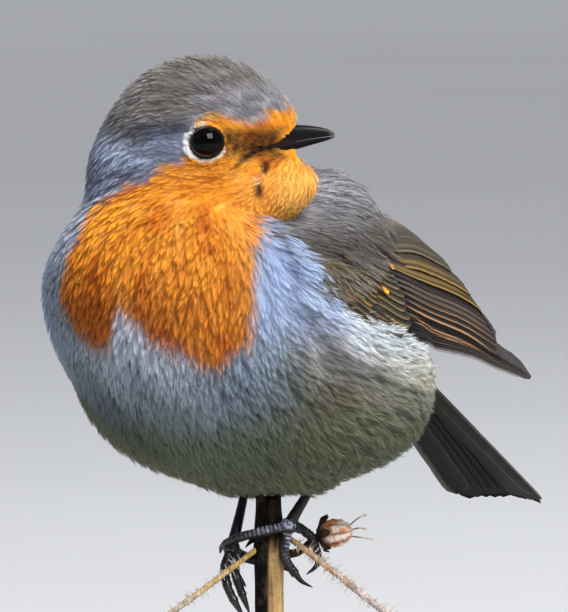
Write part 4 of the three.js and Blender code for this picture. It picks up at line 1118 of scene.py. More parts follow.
def grow_wing(side, word):
    surf = wing_surf(side)
    for k, (name, root, tip, wo, wi, kind) in enumerate(FLIGHT):
        style = (style_tertial({"T1": 0.15, "T2": 0.8, "T3": 1.0}[name]) if kind == "t" else REMEX[name])
        group = f"wing_{word}_" + ("primaries_set" if kind == "p" else "secondaries_set")
        vanes.add(group, surf, (root[0], root[1] + wo), (tip[0], tip[1] + wo * 0.3), wo, wi, style, bow=-0.35 if kind == "p" else 0.35,
                  tilt=0.95 if kind != "p" else 0.7, rise=0.05 if kind != "t" else 0.2 + 0.1 * (2 - k), blunt=0.07 if kind == "p" else 0.09, nt=34,
                  sink=(3.4, 2.4, 0.5)[k] if kind == "t" else 0.0)
    cov = f"wing_{word}_coverts_set"
    for i in range(8):  # greater coverts
        tip = (20.4 + 0.16 * i + 0.5 * math.sin(i * 2.1), 2.4 + 1.3 * i)
        vanes.add(cov, surf, (tip[0] - 12, tip[1] + 1.5), tip, 1.2, 2.4, style_covert(0.0, amount=(0.85, 0.35, 0.7, 0.45, 0.3, 0.55, 0.25, 0.4)[i]),
                  tilt=0.7, rise=0.34, blunt=0.26, nt=20, sink=1.0, tone=(0.85, 1.0, 0.8, 1.1, 0.9, 1.05, 0.85, 1.0)[i])
    for i in range(7):  # primary coverts
        tip = (16.6 + 0.7 * i, -0.6 + 0.5 * i)
        vanes.add(cov, surf, (tip[0] - 12, tip[1] + 0.5), tip, 0.8, 2.0, style_covert(0.0, amount=0.3 + 0.4 * (i % 2)), tilt=0.5, rise=0.2, blunt=0.24, nt=18, sink=0.4)
    for i in range(3):  # the alula
        vanes.add(cov, surf, (-1.5 + i, 0.6 + 1.1 * i), (11.0 + 1.9 * i, -0.2 + 1.0 * i), 0.8, 2.0, style_covert(0.0, srgb(120, 98, 58), 0.6), tilt=0.4, rise=0.4, blunt=0.24, nt=16, sink=0.8)
    for i in range(9):  # median coverts
        tip = (10.6 + 0.75 * i + 0.6 * math.sin(i * 1.7), 2.6 + 0.95 * i)
        spot = 0.0
        vanes.add(cov, surf, (tip[0] - 8.5, tip[1] + 0.9), tip, 1.0, 1.6, style_covert(spot, amount=(0.8, 0.4, 0.7, 0.35, 0.5, 0.3, 0.6, 0.3, 0.4)[i]), tilt=0.4, rise=0.62, blunt=0.32, nt=14, sink=1.2)
    vanes.add(cov, surf, (14.5, 14.6), (22.4, 12.8), 1.35, 1.3, style_covert(1.0, OLIVE_WARM * 0.5, 0.5), tilt=0.5, rise=0.9, blunt=0.3, nt=16, sink=2.2)
    vanes.add(cov, surf, (7.6, 7.9), (15.2, 6.5), 1.2, 1.2, style_covert(1.0, OLIVE_WARM * 0.5, 0.5), tilt=0.5, rise=0.9, blunt=0.3, nt=16, sink=2.2)


def sheet_patch(surf, a, b, turn, L, W, K=6, J=5):
    """Patches on a sheet for soft feathers rooted at (a, b), turned from the sheet's own length."""
    t = np.linspace(0, 1.12, K)[None, :, None] * L[:, None, None]
    w = np.linspace(-1.15, 1.15, J)[None, None] * W[:, None, None]
    c, s = np.cos(turn)[:, None, None], np.sin(turn)[:, None, None]
    U = a[:, None, None] + t * c - w * s
    V = b[:, None, None] + t * s + w * c
    z = np.zeros_like(U)
    P = surf(U, V, z)
    N = unit(surf(U, V, z + 0.5) - P)
    return P, N


def wing_soft(side, word):
    surf = wing_surf(side)
    line = lambda a: 5.2 + 0.60 * np.maximum(0, a - 8.0)  # the lower limit of the soft feathers' tips

    def grow(name, n, alo, ahi, blo, bhi, gap, L0, L1, width, barbs, thick, low, high, turn0, keepif, colour, wild=0.1, spread=24, level=0.0, tilt=0.0):
        a = rng.uniform(alo, ahi, n); b = rng.uniform(blo, bhi, n)
        m = keepif(a, b)
        a, b = a[m], b[m]
        keep = scatter(np.stack([a, b, 0 * a], 1), np.full(len(a), gap))
        a, b = a[keep], b[keep]
        L = rng.uniform(L0, L1, len(a)); W = L * width
        turn = (turn0(a, b) if callable(turn0) else turn0) + rng.normal(0, 0.12, len(a))
        shifted = lambda u, v, o: surf(u, v, o + level)
        P, N = sheet_patch(shifted, a, b, turn, L, W)
        root = P[:, 0, 2]
        uv = chart(root, N[:, 0, 2], np.zeros(len(root), bool))
        coat.add(name, P, N, L, W, uv, barbs=barbs, thick=thick, spread=spread, reach=0.5, low=low, high=np.full(len(a), high), colour=colour, wild=wild, curl=0.12, lift=tilt)

    def upper(P):
        n = wobble(P, 6.0, 7)[..., None]
        m = wobble(P, 1.5, 8)[..., None]
        c = lerp(OLIVE, OLIVE_WARM, 0.5 + 0.3 * n)
        painted_shade = 0.5 * np.exp(-((P[..., 2:] - 11.8) / 3.2) ** 2)  # painted shade: darker and browner next to the breast's blue
        return lerp(c, OLIVE_WARM, painted_shade) * (1 + 0.14 * m) * (1 - painted_shade)

    # the shoulder's long hair-like feathers, grey olive, over the upper half of the wing
    down = lambda a, b: -0.74 + 0.46 * ramp(a, 3, 24)

    def in_reach(a, b):
        k = down(a, b)
        at, bt = a + 7.6 * np.cos(k), b + 7.6 * np.sin(k)
        edge = top_of_wing(a) + 0.8
        p = surf(at, bt, 0.8 + 0 * at)
        free = (trunk_form(p) < 1.1) | (np.abs(p[:, 2]) < 14)
        return free & (bt > line(at) + 0.2) & (at < 1.95 * bt - 1.0) & (b < edge)

    grow("coat_wing_" + word, 16000, -6, 34, 2, 27, 0.86, 6.5, 9.5, 0.2, 28, 0.095, 0.25, 1.55, down, in_reach, upper, wild=0.14, spread=22, level=-0.35)
    # short coverts over the bend of the wing, below them
    grow("coat_wing_" + word, 6000, -4, 9, 0.5, 9, 1.0, 4.0, 5.2, 0.28, 18, 0.10, 0.2, 1.0, -0.42,
         lambda a, b: (b > 1.6 + 0.3 * a) & (b < line(a + 4) + 2.2) & (a < 1.0 + 0.9 * b), lambda P: lerp(upper(P), FRINGE_OLIVE * 0.8, 0.18 + 0.22 * np.clip(wobble(P, 2.0, 9)[..., None], 0, 1)), wild=0.08)
    # the breast's side feathers lie over the bend of the wing, blue grey below and olive above
    def shoulder(P):
        q = P * np.array([side, 1, 1])
        w = ramp(q[..., 2] + 1.6 * q[..., 1] + 0.8 * wobble(P, 4.0, 6), -6.0, -2.5)
        return lerp(marks(P), upper(P), w[..., None])

    grow("coat_side_" + word, 6000, -8, 2.5, -3, 17, 0.95, 4.5, 6.0, 0.26, 22, 0.10, 0.0, 1.3, -0.3,
         lambda a, b: (b < 9 + 0.9 * (a + 7)) & (b < 17 - 1.0 * (a + 2)) & (a < -5.6 + 4.4 * (1 - np.clip(b / 3.5, 0, 1))), shoulder, level=-0.5, wild=0.12)
    # and the flank's over its lower edge
    grow("coat_side_" + word, 7500, -4, 19, -6.5, 1.2, 0.82, 5.5, 7.0, 0.26, 24, 0.10, 0.0, 1.3, -0.16,
         lambda a, b: b < -0.8 + 1.6 * ramp(a, 0, 6) * (1 - ramp(a, 12, 18)), marks, level=-0.6, wild=0.14)


for _side, _word in ((1, "left"), (-1, "right")):
    grow_wing(_side, _word)
    wing_soft(_side, _word)

# the tail: twelve feathers, the middle pair on top, each half a little folded
TAIL_ROOT, TAIL_TIP = np.array([0.5, 32.3, -1.6]), np.array([2.0, 78.4, -35.2])
TAIL_AL = unit(TAIL_TIP - TAIL_ROOT)
TAIL_SIDE = unit(np.cross(TAIL_AL, [0.0, 0, 1]))
TAIL_UP = np.cross(TAIL_SIDE, TAIL_AL)


def tail_surf(l, v, out):
    l, v, out = np.broadcast_arrays(np.asarray(l, float), np.asarray(v, float), np.asarray(out, float))
    u = np.clip(l / 57, 0, 1)
    roof = -1.2 * np.minimum(np.abs(v) / 9.6, 1.2) ** 1.4 * (0.6 + 0.6 * u)
    return TAIL_ROOT + l[..., None] * TAIL_AL + v[..., None] * TAIL_SIDE + (roof + out)[..., None] * TAIL_UP


for side in (1, -1):
    mirrored = (lambda s: lambda l, v, o: tail_surf(l, v * s, o))(side)
    for i in range(6):  # from the outer pair inward: v runs from the middle line outward
        out_v = 1.9 + 1.42 * (5 - i)
        tip_l = 56.6 - 2.0 * (i == 0) + 1.4 * ramp(np.array(i / 5.0), 0.3, 1.0)
        v_root = 0.35 + 0.62 * (5 - i)
        # outer web points outward: flip the sheet's v so that the outer web is at the lower side
        surf_i = (lambda f: lambda l, v, o: f(l, -v, o))(mirrored)
        # painted shadow: the middle pairs darker, for the slit between the tail's halves
        vanes.add("tail_set", surf_i, (-7, -v_root), (float(tip_l), -out_v), 1.3 if i else 1.5, 3.6, style_rectrix(i == 0, (0.8, 0.8, 0.75, 0.6, 0.35, 0.2)[i], side), bow=0.3,
                  tilt=-0.35, rise=0.42 - 0.17 * (5 - i), blunt=0.07, nt=36, layer=0.0, camber=0.1, shaft_r=0.17)


def tail_soft():
    for name, sgn, colour, lo, hi, n in (("coat_back", 1, lambda P: lerp(OLIVE, OLIVE_WARM, 0.7) + 0 * P, -6, 9, 2200), ("coat_belly", -1, lambda P: CREAM * 0.9 + 0 * P, -6, 12, 2600)):
        a = rng.uniform(lo, hi, n); b = rng.uniform(-5.6, 5.6, n)
        keep = scatter(np.stack([a, b, 0 * a], 1), np.full(n, 1.15))
        a, b = a[keep], b[keep]
        L = rng.uniform(7.0, 9.5, len(a)) * lerp(1.0, 0.75, np.abs(b) / 6); W = L * 0.26
        surf = (lambda s: lambda u, v, o: tail_surf(u, v, s * (o + 0.6)))(sgn)
        P, N = sheet_patch(surf, a, b, rng.normal(0, 0.12, len(a)), L, W)
        uv = chart(P[:, 0, 2], N[:, 0, 2], np.zeros(len(a), bool))
        coat.add(name, P, N, L, W, uv, barbs=16, thick=0.135, spread=24, reach=0.5, low=0.2 + 0 * 1, high=np.full(len(a), 1.6), colour=colour, wild=0.12, curl=0.15)


tail_soft()


def quill(nt, b, node, link):
    at = node("ShaderNodeAttribute", attribute_name="plumage")
    vn = node("ShaderNodeAttribute", attribute_name="vane").outputs["Vector"]
    barbs = noise(node, link, 1.0, 3, 0.6, vn, (7.0, 0.35, 1.0))
    fine = noise(node, link, 1.0, 2, 0.5, vn, (22.0, 0.8, 1.0))
    bars = noise(node, link, 1.0, 2, 0.5, vn, (0.9, 0.3, 1.0))
    c = mixed(node, link, span(node, link, barbs, 0.35, 0.7, 0.0, 0.35), at.outputs["Color"], (0.006, 0.005, 0.004))
    c = mixed(node, link, span(node, link, fine, 0.5, 0.8, 0.0, 0.07), c, (0.42, 0.38, 0.32))
    c = mixed(node, link, span(node, link, bars, 0.45, 0.75, 0.0, 0.12), c, (0.02, 0.016, 0.012))
    link(c, b.inputs["Base Color"])
    link(span(node, link, barbs, 0.3, 0.7, 0.48, 0.7), b.inputs["Roughness"])
    b.inputs["Specular IOR Level"].default_value = 0.09
    h = node("ShaderNodeMath", operation="ADD")
    link(barbs, h.inputs[0]); link(fine, h.inputs[1])
    bumped(node, link, b, h.outputs[0], 0.55, 0.00012)


MAT_QUILL = material("plumage_quill", quill)
_slots = {"tail_set": "tail"}
_rep = {"tail_set": ["tail"]}
for _w in ("left", "right"):
    for _p, _s in (("primaries", "flight"), ("secondaries", "flight"), ("coverts", "olive")):
        _slots[f"wing_{_w}_{_p}_set"] = _s
        _rep[f"wing_{_w}_{_p}_set"] = [f"wing_{_w}_{_p}"]
vanes.build(MAT_QUILL, _slots, _rep)

# ------------------------------------------------------------------ eyes, lids and bill
class Solids:
    """Gathers closed meshes with their colours and makes one object of them."""

    def __init__(self):
        self.V, self.F, self.S, self.C, self.n = [], [], [], [], 0

    def add(self, V, faces, C):
        V = np.asarray(V, float)
        self.V.append(V); self.C.append(np.broadcast_to(C, V.shape))
        for f in faces:
            f = np.asarray(f)
            self.F.append((f + self.n).ravel()); self.S.append(np.full(len(f), f.shape[1]))
        self.n += len(V)

    def make(self, name, mat, slot, replaces=(), smooth=True):
        ob = mesh_of(name, np.concatenate(self.V), np.concatenate(self.F), np.concatenate(self.S), None, np.concatenate(self.C), smooth=smooth)
        ob.data.materials.append(mat)
        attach(ob, "root")
        if replaces:
            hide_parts(*replaces)
        return ob


def rings(P):
    """Faces of a closed skin over rings of points (n, m, 3), the first and last ring closed by fans to their middles."""
    n, m = P.shape[:2]
    V = np.concatenate([P.reshape(-1, 3), P[0].mean(0)[None], P[-1].mean(0)[None]])
    i = np.arange(n - 1)[:, None] * m
    k = np.arange(m)[None]
    k2 = (k + 1) % m
    q = np.stack([i + k, i + k2, i + m + k2, i + m + k], -1).reshape(-1, 4)
    a = np.stack([np.full(m, n * m), k2[0], k[0]], 1)
    b = np.stack([np.full(m, n * m + 1), (n - 1) * m + k[0], (n - 1) * m + k2[0]], 1)
    vol = (P[1:-1].mean(1) - P[0].mean(0)) if n > 2 else P[1] - P[0]
    # outward: compare one side face with the direction from the axis
    f = q[(n // 2) * m]
    c = P[n // 2].mean(0)
    nn = np.cross(V[f[1]] - V[f[0]], V[f[3]] - V[f[0]])
    if (nn * (V[f].mean(0) - c)).sum() < 0:
        q, a, b = q[:, ::-1], a[:, ::-1], b[:, ::-1]
    return V, [q, np.concatenate([a, b])]


def tube(points, n, m, radius, up, detail=None, colour=None, steps=None):
    """A tube along a smooth curve. radius(t) gives its half-sizes across and up; detail(t, angle, mm) is added to them."""
    c, length = curve(points, n)
    t = np.linspace(0, 1, n)
    tan = unit(np.gradient(c, axis=0))
    up = np.array(up, float)
    s = unit(np.cross(tan, up)); w = unit(np.cross(s, tan))
    ang = np.linspace(0, 2 * math.pi, m, endpoint=False)
    rx, ry = radius(t)
    T, A = np.meshgrid(t, ang, indexing="ij")
    d = detail(T, A, T * length) if detail else 0 * T
    P = c[:, None] + s[:, None] * (np.cos(A) * (rx[:, None] + d))[..., None] + w[:, None] * (np.sin(A) * (ry[:, None] + d))[..., None]
    V, faces = rings(P)
    C = colour(T, A, P) if colour else np.zeros_like(P)
    C = np.concatenate([C.reshape(-1, 3), C[0].mean(0)[None], C[-1].mean(0)[None]])
    return V, faces, C


def glossy(rough=0.3, spec=0.5, coat=0.0, bump=0.1, scale=1500, spread=0.12, stretch=None, dark=(0.01, 0.009, 0.008), amount=0.3, dist=0.00015):
    def build(nt, b, node, link):
        at = node("ShaderNodeAttribute", attribute_name="plumage")
        tc = node("ShaderNodeTexCoord").outputs["Object"]
        n1 = noise(node, link, scale, 5, 0.6, tc, stretch)
        c = mixed(node, link, span(node, link, n1, 0.4, 0.75, 0.0, amount), at.outputs["Color"], dark)
        link(c, b.inputs["Base Color"])
        link(span(node, link, n1, 0.3, 0.7, rough - spread / 2, rough + spread), b.inputs["Roughness"])
        b.inputs["Specular IOR Level"].default_value = spec
        b.inputs["Coat Weight"].default_value = coat
        bumped(node, link, b, n1, bump, dist)
    return build


def eye_build(nt, b, node, link):
    at = node("ShaderNodeAttribute", attribute_name="plumage")
    tc = node("ShaderNodeTexCoord").outputs["Object"]
    n1 = noise(node, link, 2600, 4, 0.6, tc)
    c = mixed(node, link, span(node, link, n1, 0.35, 0.7, 0.0, 0.6), at.outputs["Color"], (0.0006, 0.0004, 0.0003))
    link(c, b.inputs["Base Color"])
    link(span(node, link, n1, 0.3, 0.7, 0.03, 0.06), b.inputs["Roughness"])
    b.inputs["IOR"].default_value = 1.20


MAT_EYE = material("eye_gloss", eye_build)
MAT_LID = material("eyelid_skin", glossy(0.72, 0.12, 0.0, 0.5, 3000))
MAT_BILL = material("bill_horn", glossy(0.25, 0.08, 0.03, 0.15, 1100, 0.10, (0.002, 0.002, 0.003), amount=0.9))


def build_eyes():
    lids = Solids()
    for side, word in ((1, "right"), (-1, "left")):
        c, ax = EYES[side], HR * side
        e1, e2 = HA, unit(np.cross(HR, HA))
        th = np.linspace(0, math.pi, 36)[1:-1]
        ph = np.linspace(0, 2 * math.pi, 56, endpoint=False)
        T, F = np.meshgrid(th, ph, indexing="ij")
        r = EYE_R + 0.10 * np.exp(-(T / 0.62) ** 2)
        P = c + r[..., None] * (np.cos(T)[..., None] * ax + np.sin(T)[..., None] * (np.cos(F)[..., None] * e1 + np.sin(F)[..., None] * e2))
        V, faces = rings(P)
        iris = ramp(T, 0.50, 0.56) * (1 - ramp(T, 0.86, 0.95))
        C = lerp(srgb(0, 0, 1), srgb(4, 2, 2), iris[..., None])
        C = np.concatenate([C.reshape(-1, 3), srgb(1, 1, 2)[None], srgb(3, 2, 2)[None]])
        e = Solids(); e.add(V, faces, C)
        e.make("eyeball_" + word, MAT_EYE, "eye", ["eye_" + word])
        # the lids: a narrow ring of bare skin, drawn out a little to a corner before and behind
        n = 84
        f = np.linspace(0, 2 * math.pi, n, endpoint=False)
        corner = 0.12 * np.exp(-(np.sin(f) / 0.35) ** 2)
        rx, ry = 2.46 + corner, 2.20 + 0 * f
        cx, cy = np.cos(f) * rx + 0.05, np.sin(f) * ry + 0.17
        rho = np.hypot(cx, cy)
        d = np.sqrt(np.maximum(0.2, (EYE_R + 0.03) ** 2 - rho ** 2))
        mid = c + ax * d[:, None] + cx[:, None] * e1 + cy[:, None] * e2
        outw = unit(cx[:, None] * e1 + cy[:, None] * e2)
        a = np.linspace(0, 2 * math.pi, 12, endpoint=False)
        ripple = 1 + 0.10 * np.sin(f * 21 + 1.3 * np.sin(f * 3))
        w = (0.17 * ripple)[:, None] * np.cos(a)[None]
        h = (0.14 * ripple)[:, None] * np.sin(a)[None]
        P = mid[:, None] + outw[:, None] * (w + 0.10)[..., None] + ax * (h - 0.12 * (w + 0.17) / 0.34)[..., None]
        V = P.reshape(-1, 3)
        i = np.arange(n)[:, None] * 12; i2 = (np.arange(n)[:, None] + 1) % n * 12
        k = np.arange(12)[None]; k2 = (k + 1) % 12
        q = np.stack([i + k, i + k2, i2 + k2, i2 + k], -1).reshape(-1, 4)
        nn = np.cross(V[q[3, 1]] - V[q[3, 0]], V[q[3, 3]] - V[q[3, 0]])
        if (nn * (V[q[3]].mean(0) - (mid[0] + outw[0] * 0.1))).sum() < 0:
            q = q[:, ::-1]
        white = ramp(-np.cos(f), -0.45, 0.2)
        C = lerp(srgb(12, 9, 8), srgb(92, 86, 82), white[:, None] * 0.6)
        C = lerp(C[:, None], srgb(3, 3, 3), (0.5 + 0.5 * np.cos(a + math.pi))[None, :, None] ** 1.1)
        lids.add(V, [q], C.reshape(-1, 3))
        # the ring of tiny feathers round the lids
        n = 420
        f = rng.uniform(0, 2 * math.pi, n); rr = rng.uniform(2.45, 3.1, n)
        p = c + ax * 2.0 + (np.cos(f) * rr * 1.03)[:, None] * e1 + (np.sin(f) * rr * 0.95)[:, None] * e2
        p, nn = to_level(p, 0.0, skin_form, 4)
        L = rng.uniform(0.6, 1.0, n)

        def ringflow(P, c=c, ax=ax):
            e = P - c
            e = e - ax * (e @ ax)[:, None]
            return unit(unit(e) + (-HA) * 0.45)

        def ringcolour(P, c=c, e1=e1, e2=e2):
            e = P - c
            x, y = e @ e1, e @ e2
            an = np.degrees(np.arctan2(y, x)) % 360
            d_ = np.hypot(x / 1.03, y / 0.95)
            wh = ramp(an, 78, 104) * (1 - ramp(an, 318, 345))
            gap = np.exp(-((an - 163) / 5.0) ** 2) * 0.7
            cream = lerp(srgb(255, 255, 255), srgb(236, 218, 190), (ramp(an, 235, 300) + (1 - ramp(an, 112, 150)))[..., None].clip(0, 1))
            edge = 3.16 + 0.50 * ramp(an, 120, 165) * (1 - ramp(an, 200, 240)) + 0.12 * np.sin(an * 0.21)
            out = marks(P)
            return lerp(out, cream, (np.clip(wh - gap, 0, 1) * (1 - ramp(d_, edge, edge + 0.5)))[..., None])

        Pp, Nn = trace(p, ringflow, L, L * 0.4, level=0.0, f=skin_form)
        uv = chart(p, nn, np.ones(n, bool))
        coat.add("coat_face", Pp, Nn, L, L * 0.4, uv, barbs=8, thick=0.09, spread=20, reach=0.6, low=0.2, high=np.full(n, 0.85), colour=ringcolour, wild=0.03, curl=0.05, local=1.0, dark=1.0)
    lids.make("eyelids", MAT_LID, "eye")


def build_bill():
    n = 66
    c, length = curve([in_head(7.2, 0, -1.6), in_head(10.5, 0, -0.45), in_head(14.4, 0, -0.1), in_head(18.6, 0, 0.3), in_head(22.8, 0, 0.5)], n)
    t = np.linspace(0, 1, n)
    tan = unit(np.gradient(c, axis=0))
    up = unit(np.cross(HR, tan))
    up = np.where((up @ HU)[:, None] < 0, -up, up)
    wide = 3.3 * np.maximum(0, 1 - t) ** 0.62 + 0.28
    made = Solids()
    for upper in (True, False):
        half = wide * (1 if upper else 0.94) * 0.5 + 0.30 * (1 - t) + 0.02
        h = (np.minimum(2.75, 4.1 * np.maximum(0, 1 - t) ** 0.5) + 0.10) if upper else (np.minimum(1.5, 2.0 * np.maximum(0, 1 - t) ** 0.55) + 0.08) * 0.93
        arch = np.linspace(0, math.pi, 27)
        flat = np.linspace(-1, 1, 9)[1:-1]
        x = np.concatenate([np.sign(np.cos(arch)) * np.abs(np.cos(arch)) ** 0.92, flat])
        z = np.concatenate([np.sin(arch) ** 0.88, np.zeros(len(flat)) + 0.03])
        ridge = np.exp(-(x / 0.22) ** 2) * (z > 0.05)
        X = x[None] * half[:, None]
        # the sides pull in a little above the cutting edge
        X = X * (1 - 0.10 * np.sin(np.clip(z, 0, 1) * math.pi)[None])
        Z = z[None] * h[:, None] * (1 + 0.07 * ridge[None] * (1 - t[:, None]))
        sgn = 1 if upper else -1
        P = c[:, None] + HR * X[..., None] + up[:, None] * (sgn * (Z + 0.05))[..., None]
        if upper:
            # the nostril: a slit in a soft hollow on each side
            q = P - H0
            a, r, u = q @ HA, q @ HR, q @ HU
            for cz, rx_, ry_, deep in ((0.95, 1.25, 0.62, 0.22), (0.85, 0.62, 0.20, 0.38)):
                g = np.exp(-((a - 13.7) / rx_) ** 2 - ((u - cz - 0.06 * (a - 13.7)) / ry_) ** 2) * (np.abs(r) > 0.5)
                P = P - HR * (np.sign(r) * g * deep)[..., None]
            nos = np.exp(-((a - 13.7) / 0.66) ** 2 - ((u - 0.85) / 0.24) ** 2)
        T = np.broadcast_to(t[:, None], X.shape)
        base = lerp(srgb(22, 20, 23), srgb(7, 6, 8), ramp(T, 0.36, 0.62)[..., None])
        C = lerp(base, srgb(110, 106, 104), (0.5 * ramp(T, 0.92, 1.0))[..., None])
        edge = (1 - ramp(np.broadcast_to(z[None], X.shape), 0.02, 0.22)) * (1 - ramp(T, 0.35, 0.85))
        C = lerp(C, srgb(70, 56, 46), (0.35 * edge)[..., None])
        if upper:
            C = lerp(C, srgb(8, 8, 9), np.clip(nos * 1.1, 0, 1)[..., None])
        V, faces = rings(P)
        C = np.concatenate([C.reshape(-1, 3), C[0].mean(0)[None], C[-1].mean(0)[None]])
        made.add(V, faces, C)
    # the soft skin at the corner of the mouth, drawn back in a thin fold
    for side in (1, -1):
        pts = []
        for a_, u_ in ((13.6, -0.15), (11.6, -0.35), (9.8, -0.8), (8.2, -1.5), (7.2, -2.1)):
            s = np.linspace(1.0, 9.5, 400)
            f = skin_form(np.array([in_head(a_, side * q, u_) for q in s]))
            k = np.argmax(f > -0.15)
            pts.append(in_head(a_, side * (s[k] + 0.12), u_))
        V, faces, C = tube(pts, 26, 8, lambda t: (0.20 * (1 - t) ** 0.5 * 1.1 + 0.05, 0.26 * (1 - t) ** 0.5 + 0.05), HU, None,
                           lambda T, A, P: lerp(srgb(30, 25, 24), srgb(70, 46, 30), T[..., None] * 0.5) + 0 * P)
        made.add(V, faces, C)
    made.make("bill", MAT_BILL, "bill", ["bill_upper", "bill_lower"])


def spines(solids, roots, dirs, lengths, r0, colour, bend=None, seg=4, m=4):
    """Tapering hairs, each a closed bent spike."""
    n = len(roots)
    dirs = unit(np.asarray(dirs, float)); lengths = np.asarray(lengths, float)
    bend = np.zeros((n, 3)) if bend is None else np.asarray(bend, float)
    ref = np.where(np.abs(dirs[:, 2:]) > 0.8, [[1.0, 0, 0]], [[0, 0, 1.0]])
    s = unit(np.cross(dirs, ref)); w = np.cross(s, dirs)
    t = np.linspace(0, 1, seg + 1)[:-1]
    ang = np.linspace(0, 2 * math.pi, m, endpoint=False)
    r = np.broadcast_to(np.asarray(r0, float), (n,))
    C0 = roots[:, None] + dirs[:, None] * (t[None] * lengths[:, None])[..., None] + bend[:, None] * (t[None] ** 2 * lengths[:, None])[..., None]
    tip = roots + dirs * lengths[:, None] + bend * lengths[:, None]
    R = (r[:, None] * (1 - t[None]) ** 0.7)
    P = C0[:, :, None] + R[:, :, None, None] * (np.cos(ang)[None, None, :, None] * s[:, None, None] + np.sin(ang)[None, None, :, None] * w[:, None, None])
    V = np.concatenate([P.reshape(n, -1, 3), tip[:, None]], 1)
    per = V.shape[1]
    quads, tris = [], []
    for i in range(seg - 1):
        for k in range(m):
            quads.append([i * m + k, i * m + (k + 1) % m, (i + 1) * m + (k + 1) % m, (i + 1) * m + k])
    for k in range(m):
        tris.append([(seg - 1) * m + k, (seg - 1) * m + (k + 1) % m, per - 1])
    quads.append([3, 2, 1, 0] if m == 4 else None)
    quads = np.array(quads); tris = np.array(tris)
    o = np.arange(n)[:, None, None] * per
    C = np.broadcast_to(np.asarray(colour, float), (n, 3)) if np.ndim(colour) < 3 else colour
    solids.add(V.reshape(-1, 3), [(quads[None] + o).reshape(-1, 4), (tris[None] + o).reshape(-1, 3)], np.repeat(C, per, axis=0))


def build_bristles():
    made = Solids()
    for side in (1, -1):
        roots, dirs, ln, bend = [], [], [], []
        for k in range(9):
            a_ = 9.2 + 0.42 * k + rng.normal(0, 0.1); u_ = 0.5 - 0.32 * k + 0.04 * k * k + rng.normal(0, 0.12)
            s = np.linspace(1.0, 9.5, 300)
            f = skin_form(np.array([in_head(a_, side * q, u_) for q in s]))
            p = in_head(a_, side * s[np.argmax(f > 0)], u_)
            roots.append(p)
            dirs.append(HA * rng.uniform(0.5, 0.9) + HR * side * rng.uniform(0.45, 0.8) + HU * rng.uniform(-0.55, 0.15))
            bend.append(HA * 0.15 - HU * 0.25)
            ln.append(rng.uniform(2.2, 3.4))
        spines(made, np.array(roots), np.array(dirs), ln, 0.055, srgb(26, 20, 16), bend)
    made.make("rictal_bristles", MAT_LID, "bill")


build_eyes()
build_bill()
build_bristles()

# ------------------------------------------------------------------ legs and claws
LEGS = {
    "left": {
        "heel": (13.6, 11.5, -18), "palm": (7.9, 3.2, -34.4),
        "toes": {"inner": [(7.9, 3.0, -35.0), (7.5, 2.9, -39.4), (8.9, 4.0, -42.3)],
                 "middle": [(7.4, 2.2, -34.7), (4.2, -0.1, -35.4), (0.8, -1.4, -36.4), (-1.8, -1.0, -37.5)],
                 "outer": [(7.7, 4.0, -34.2), (6.3, 7.0, -33.9), (2.9, 7.6, -35.2), (0.4, 5.8, -36.6)],
                 "hind": [(7.6, 4.6, -34.4), (7.8, 7.4, -35.2), (9.0, 8.8, -36.8), (9.8, 9.3, -39.4)]},
        "claws": {"inner": [(9.6, 4.8, -43.6), (10.9, 6.2, -44.7)], "middle": [(-3.1, -0.4, -38.3), (-4.0, 0.5, -39.4)],
                  "outer": [(-0.4, 4.5, -37.4), (-0.7, 3.1, -38.4)], "hind": [(9.8, 9.0, -41.2), (8.5, 7.8, -42.8)]},
    },
    "right": {
        "heel": (-2.9, 9.6, -18), "palm": (-2.3, 1.5, -38.6),
        "toes": {"inner": [(-1.9, 1.2, -39.4), (-1.0, 0.9, -43.0), (0.1, 1.2, -46.2)],
                 "middle": [(-2.3, 0.6, -39.4), (-2.0, -0.9, -42.0), (-1.0, -1.5, -44.7), (0.2, -1.3, -47.0)],
                 "outer": [(-2.0, 2.4, -39.3), (-1.5, 5.2, -40.4), (1.2, 6.7, -41.2), (3.9, 7.5, -41.8)],
                 "hind": [(-2.9, 2.1, -39.0), (-4.8, 4.4, -40.6), (-4.7, 6.0, -42.8)]},
        "claws": {"inner": [(0.6, 1.7, -48.0), (0.9, 2.2, -49.5)], "middle": [(1.0, -0.8, -48.6), (1.4, 0.0, -49.8)],
                  "outer": [(5.4, 7.4, -42.4), (6.5, 6.8, -43.3)], "hind": [(-3.9, 6.6, -44.3), (-2.9, 6.5, -45.4)]},
    },
}
STEM_AXIS = np.array([0.5, 0.2, 0.0]) - T0 * np.array([1, 1, 0])
MAT_LEG = material("leg_scales", glossy(0.36, 0.3, 0.1, 0.35, 1400, 0.14, amount=0.45))
MAT_CLAW = material("claw_horn", glossy(0.26, 0.35, 0.2, 0.15, 1100, 0.1, amount=0.35))


def saw(x):
    return x - np.floor(x)


def scaled(T, A, mm, top, pitch, high):
    """Overlapping scales across the upper side and small pads below. top is the angle the scales face."""
    face = np.clip(np.cos(A - top), 0, 1) ** 0.6
    plate = (1 - saw(mm / pitch)) ** 0.8 * (1 - np.exp(-saw(mm / pitch) / 0.06))
    pads = np.clip(-np.cos(A - top), 0, 1) * (0.5 + 0.5 * np.sin(mm / (pitch * 2.2) * 2 * math.pi))
    return high * (face * plate + 0.9 * pads)


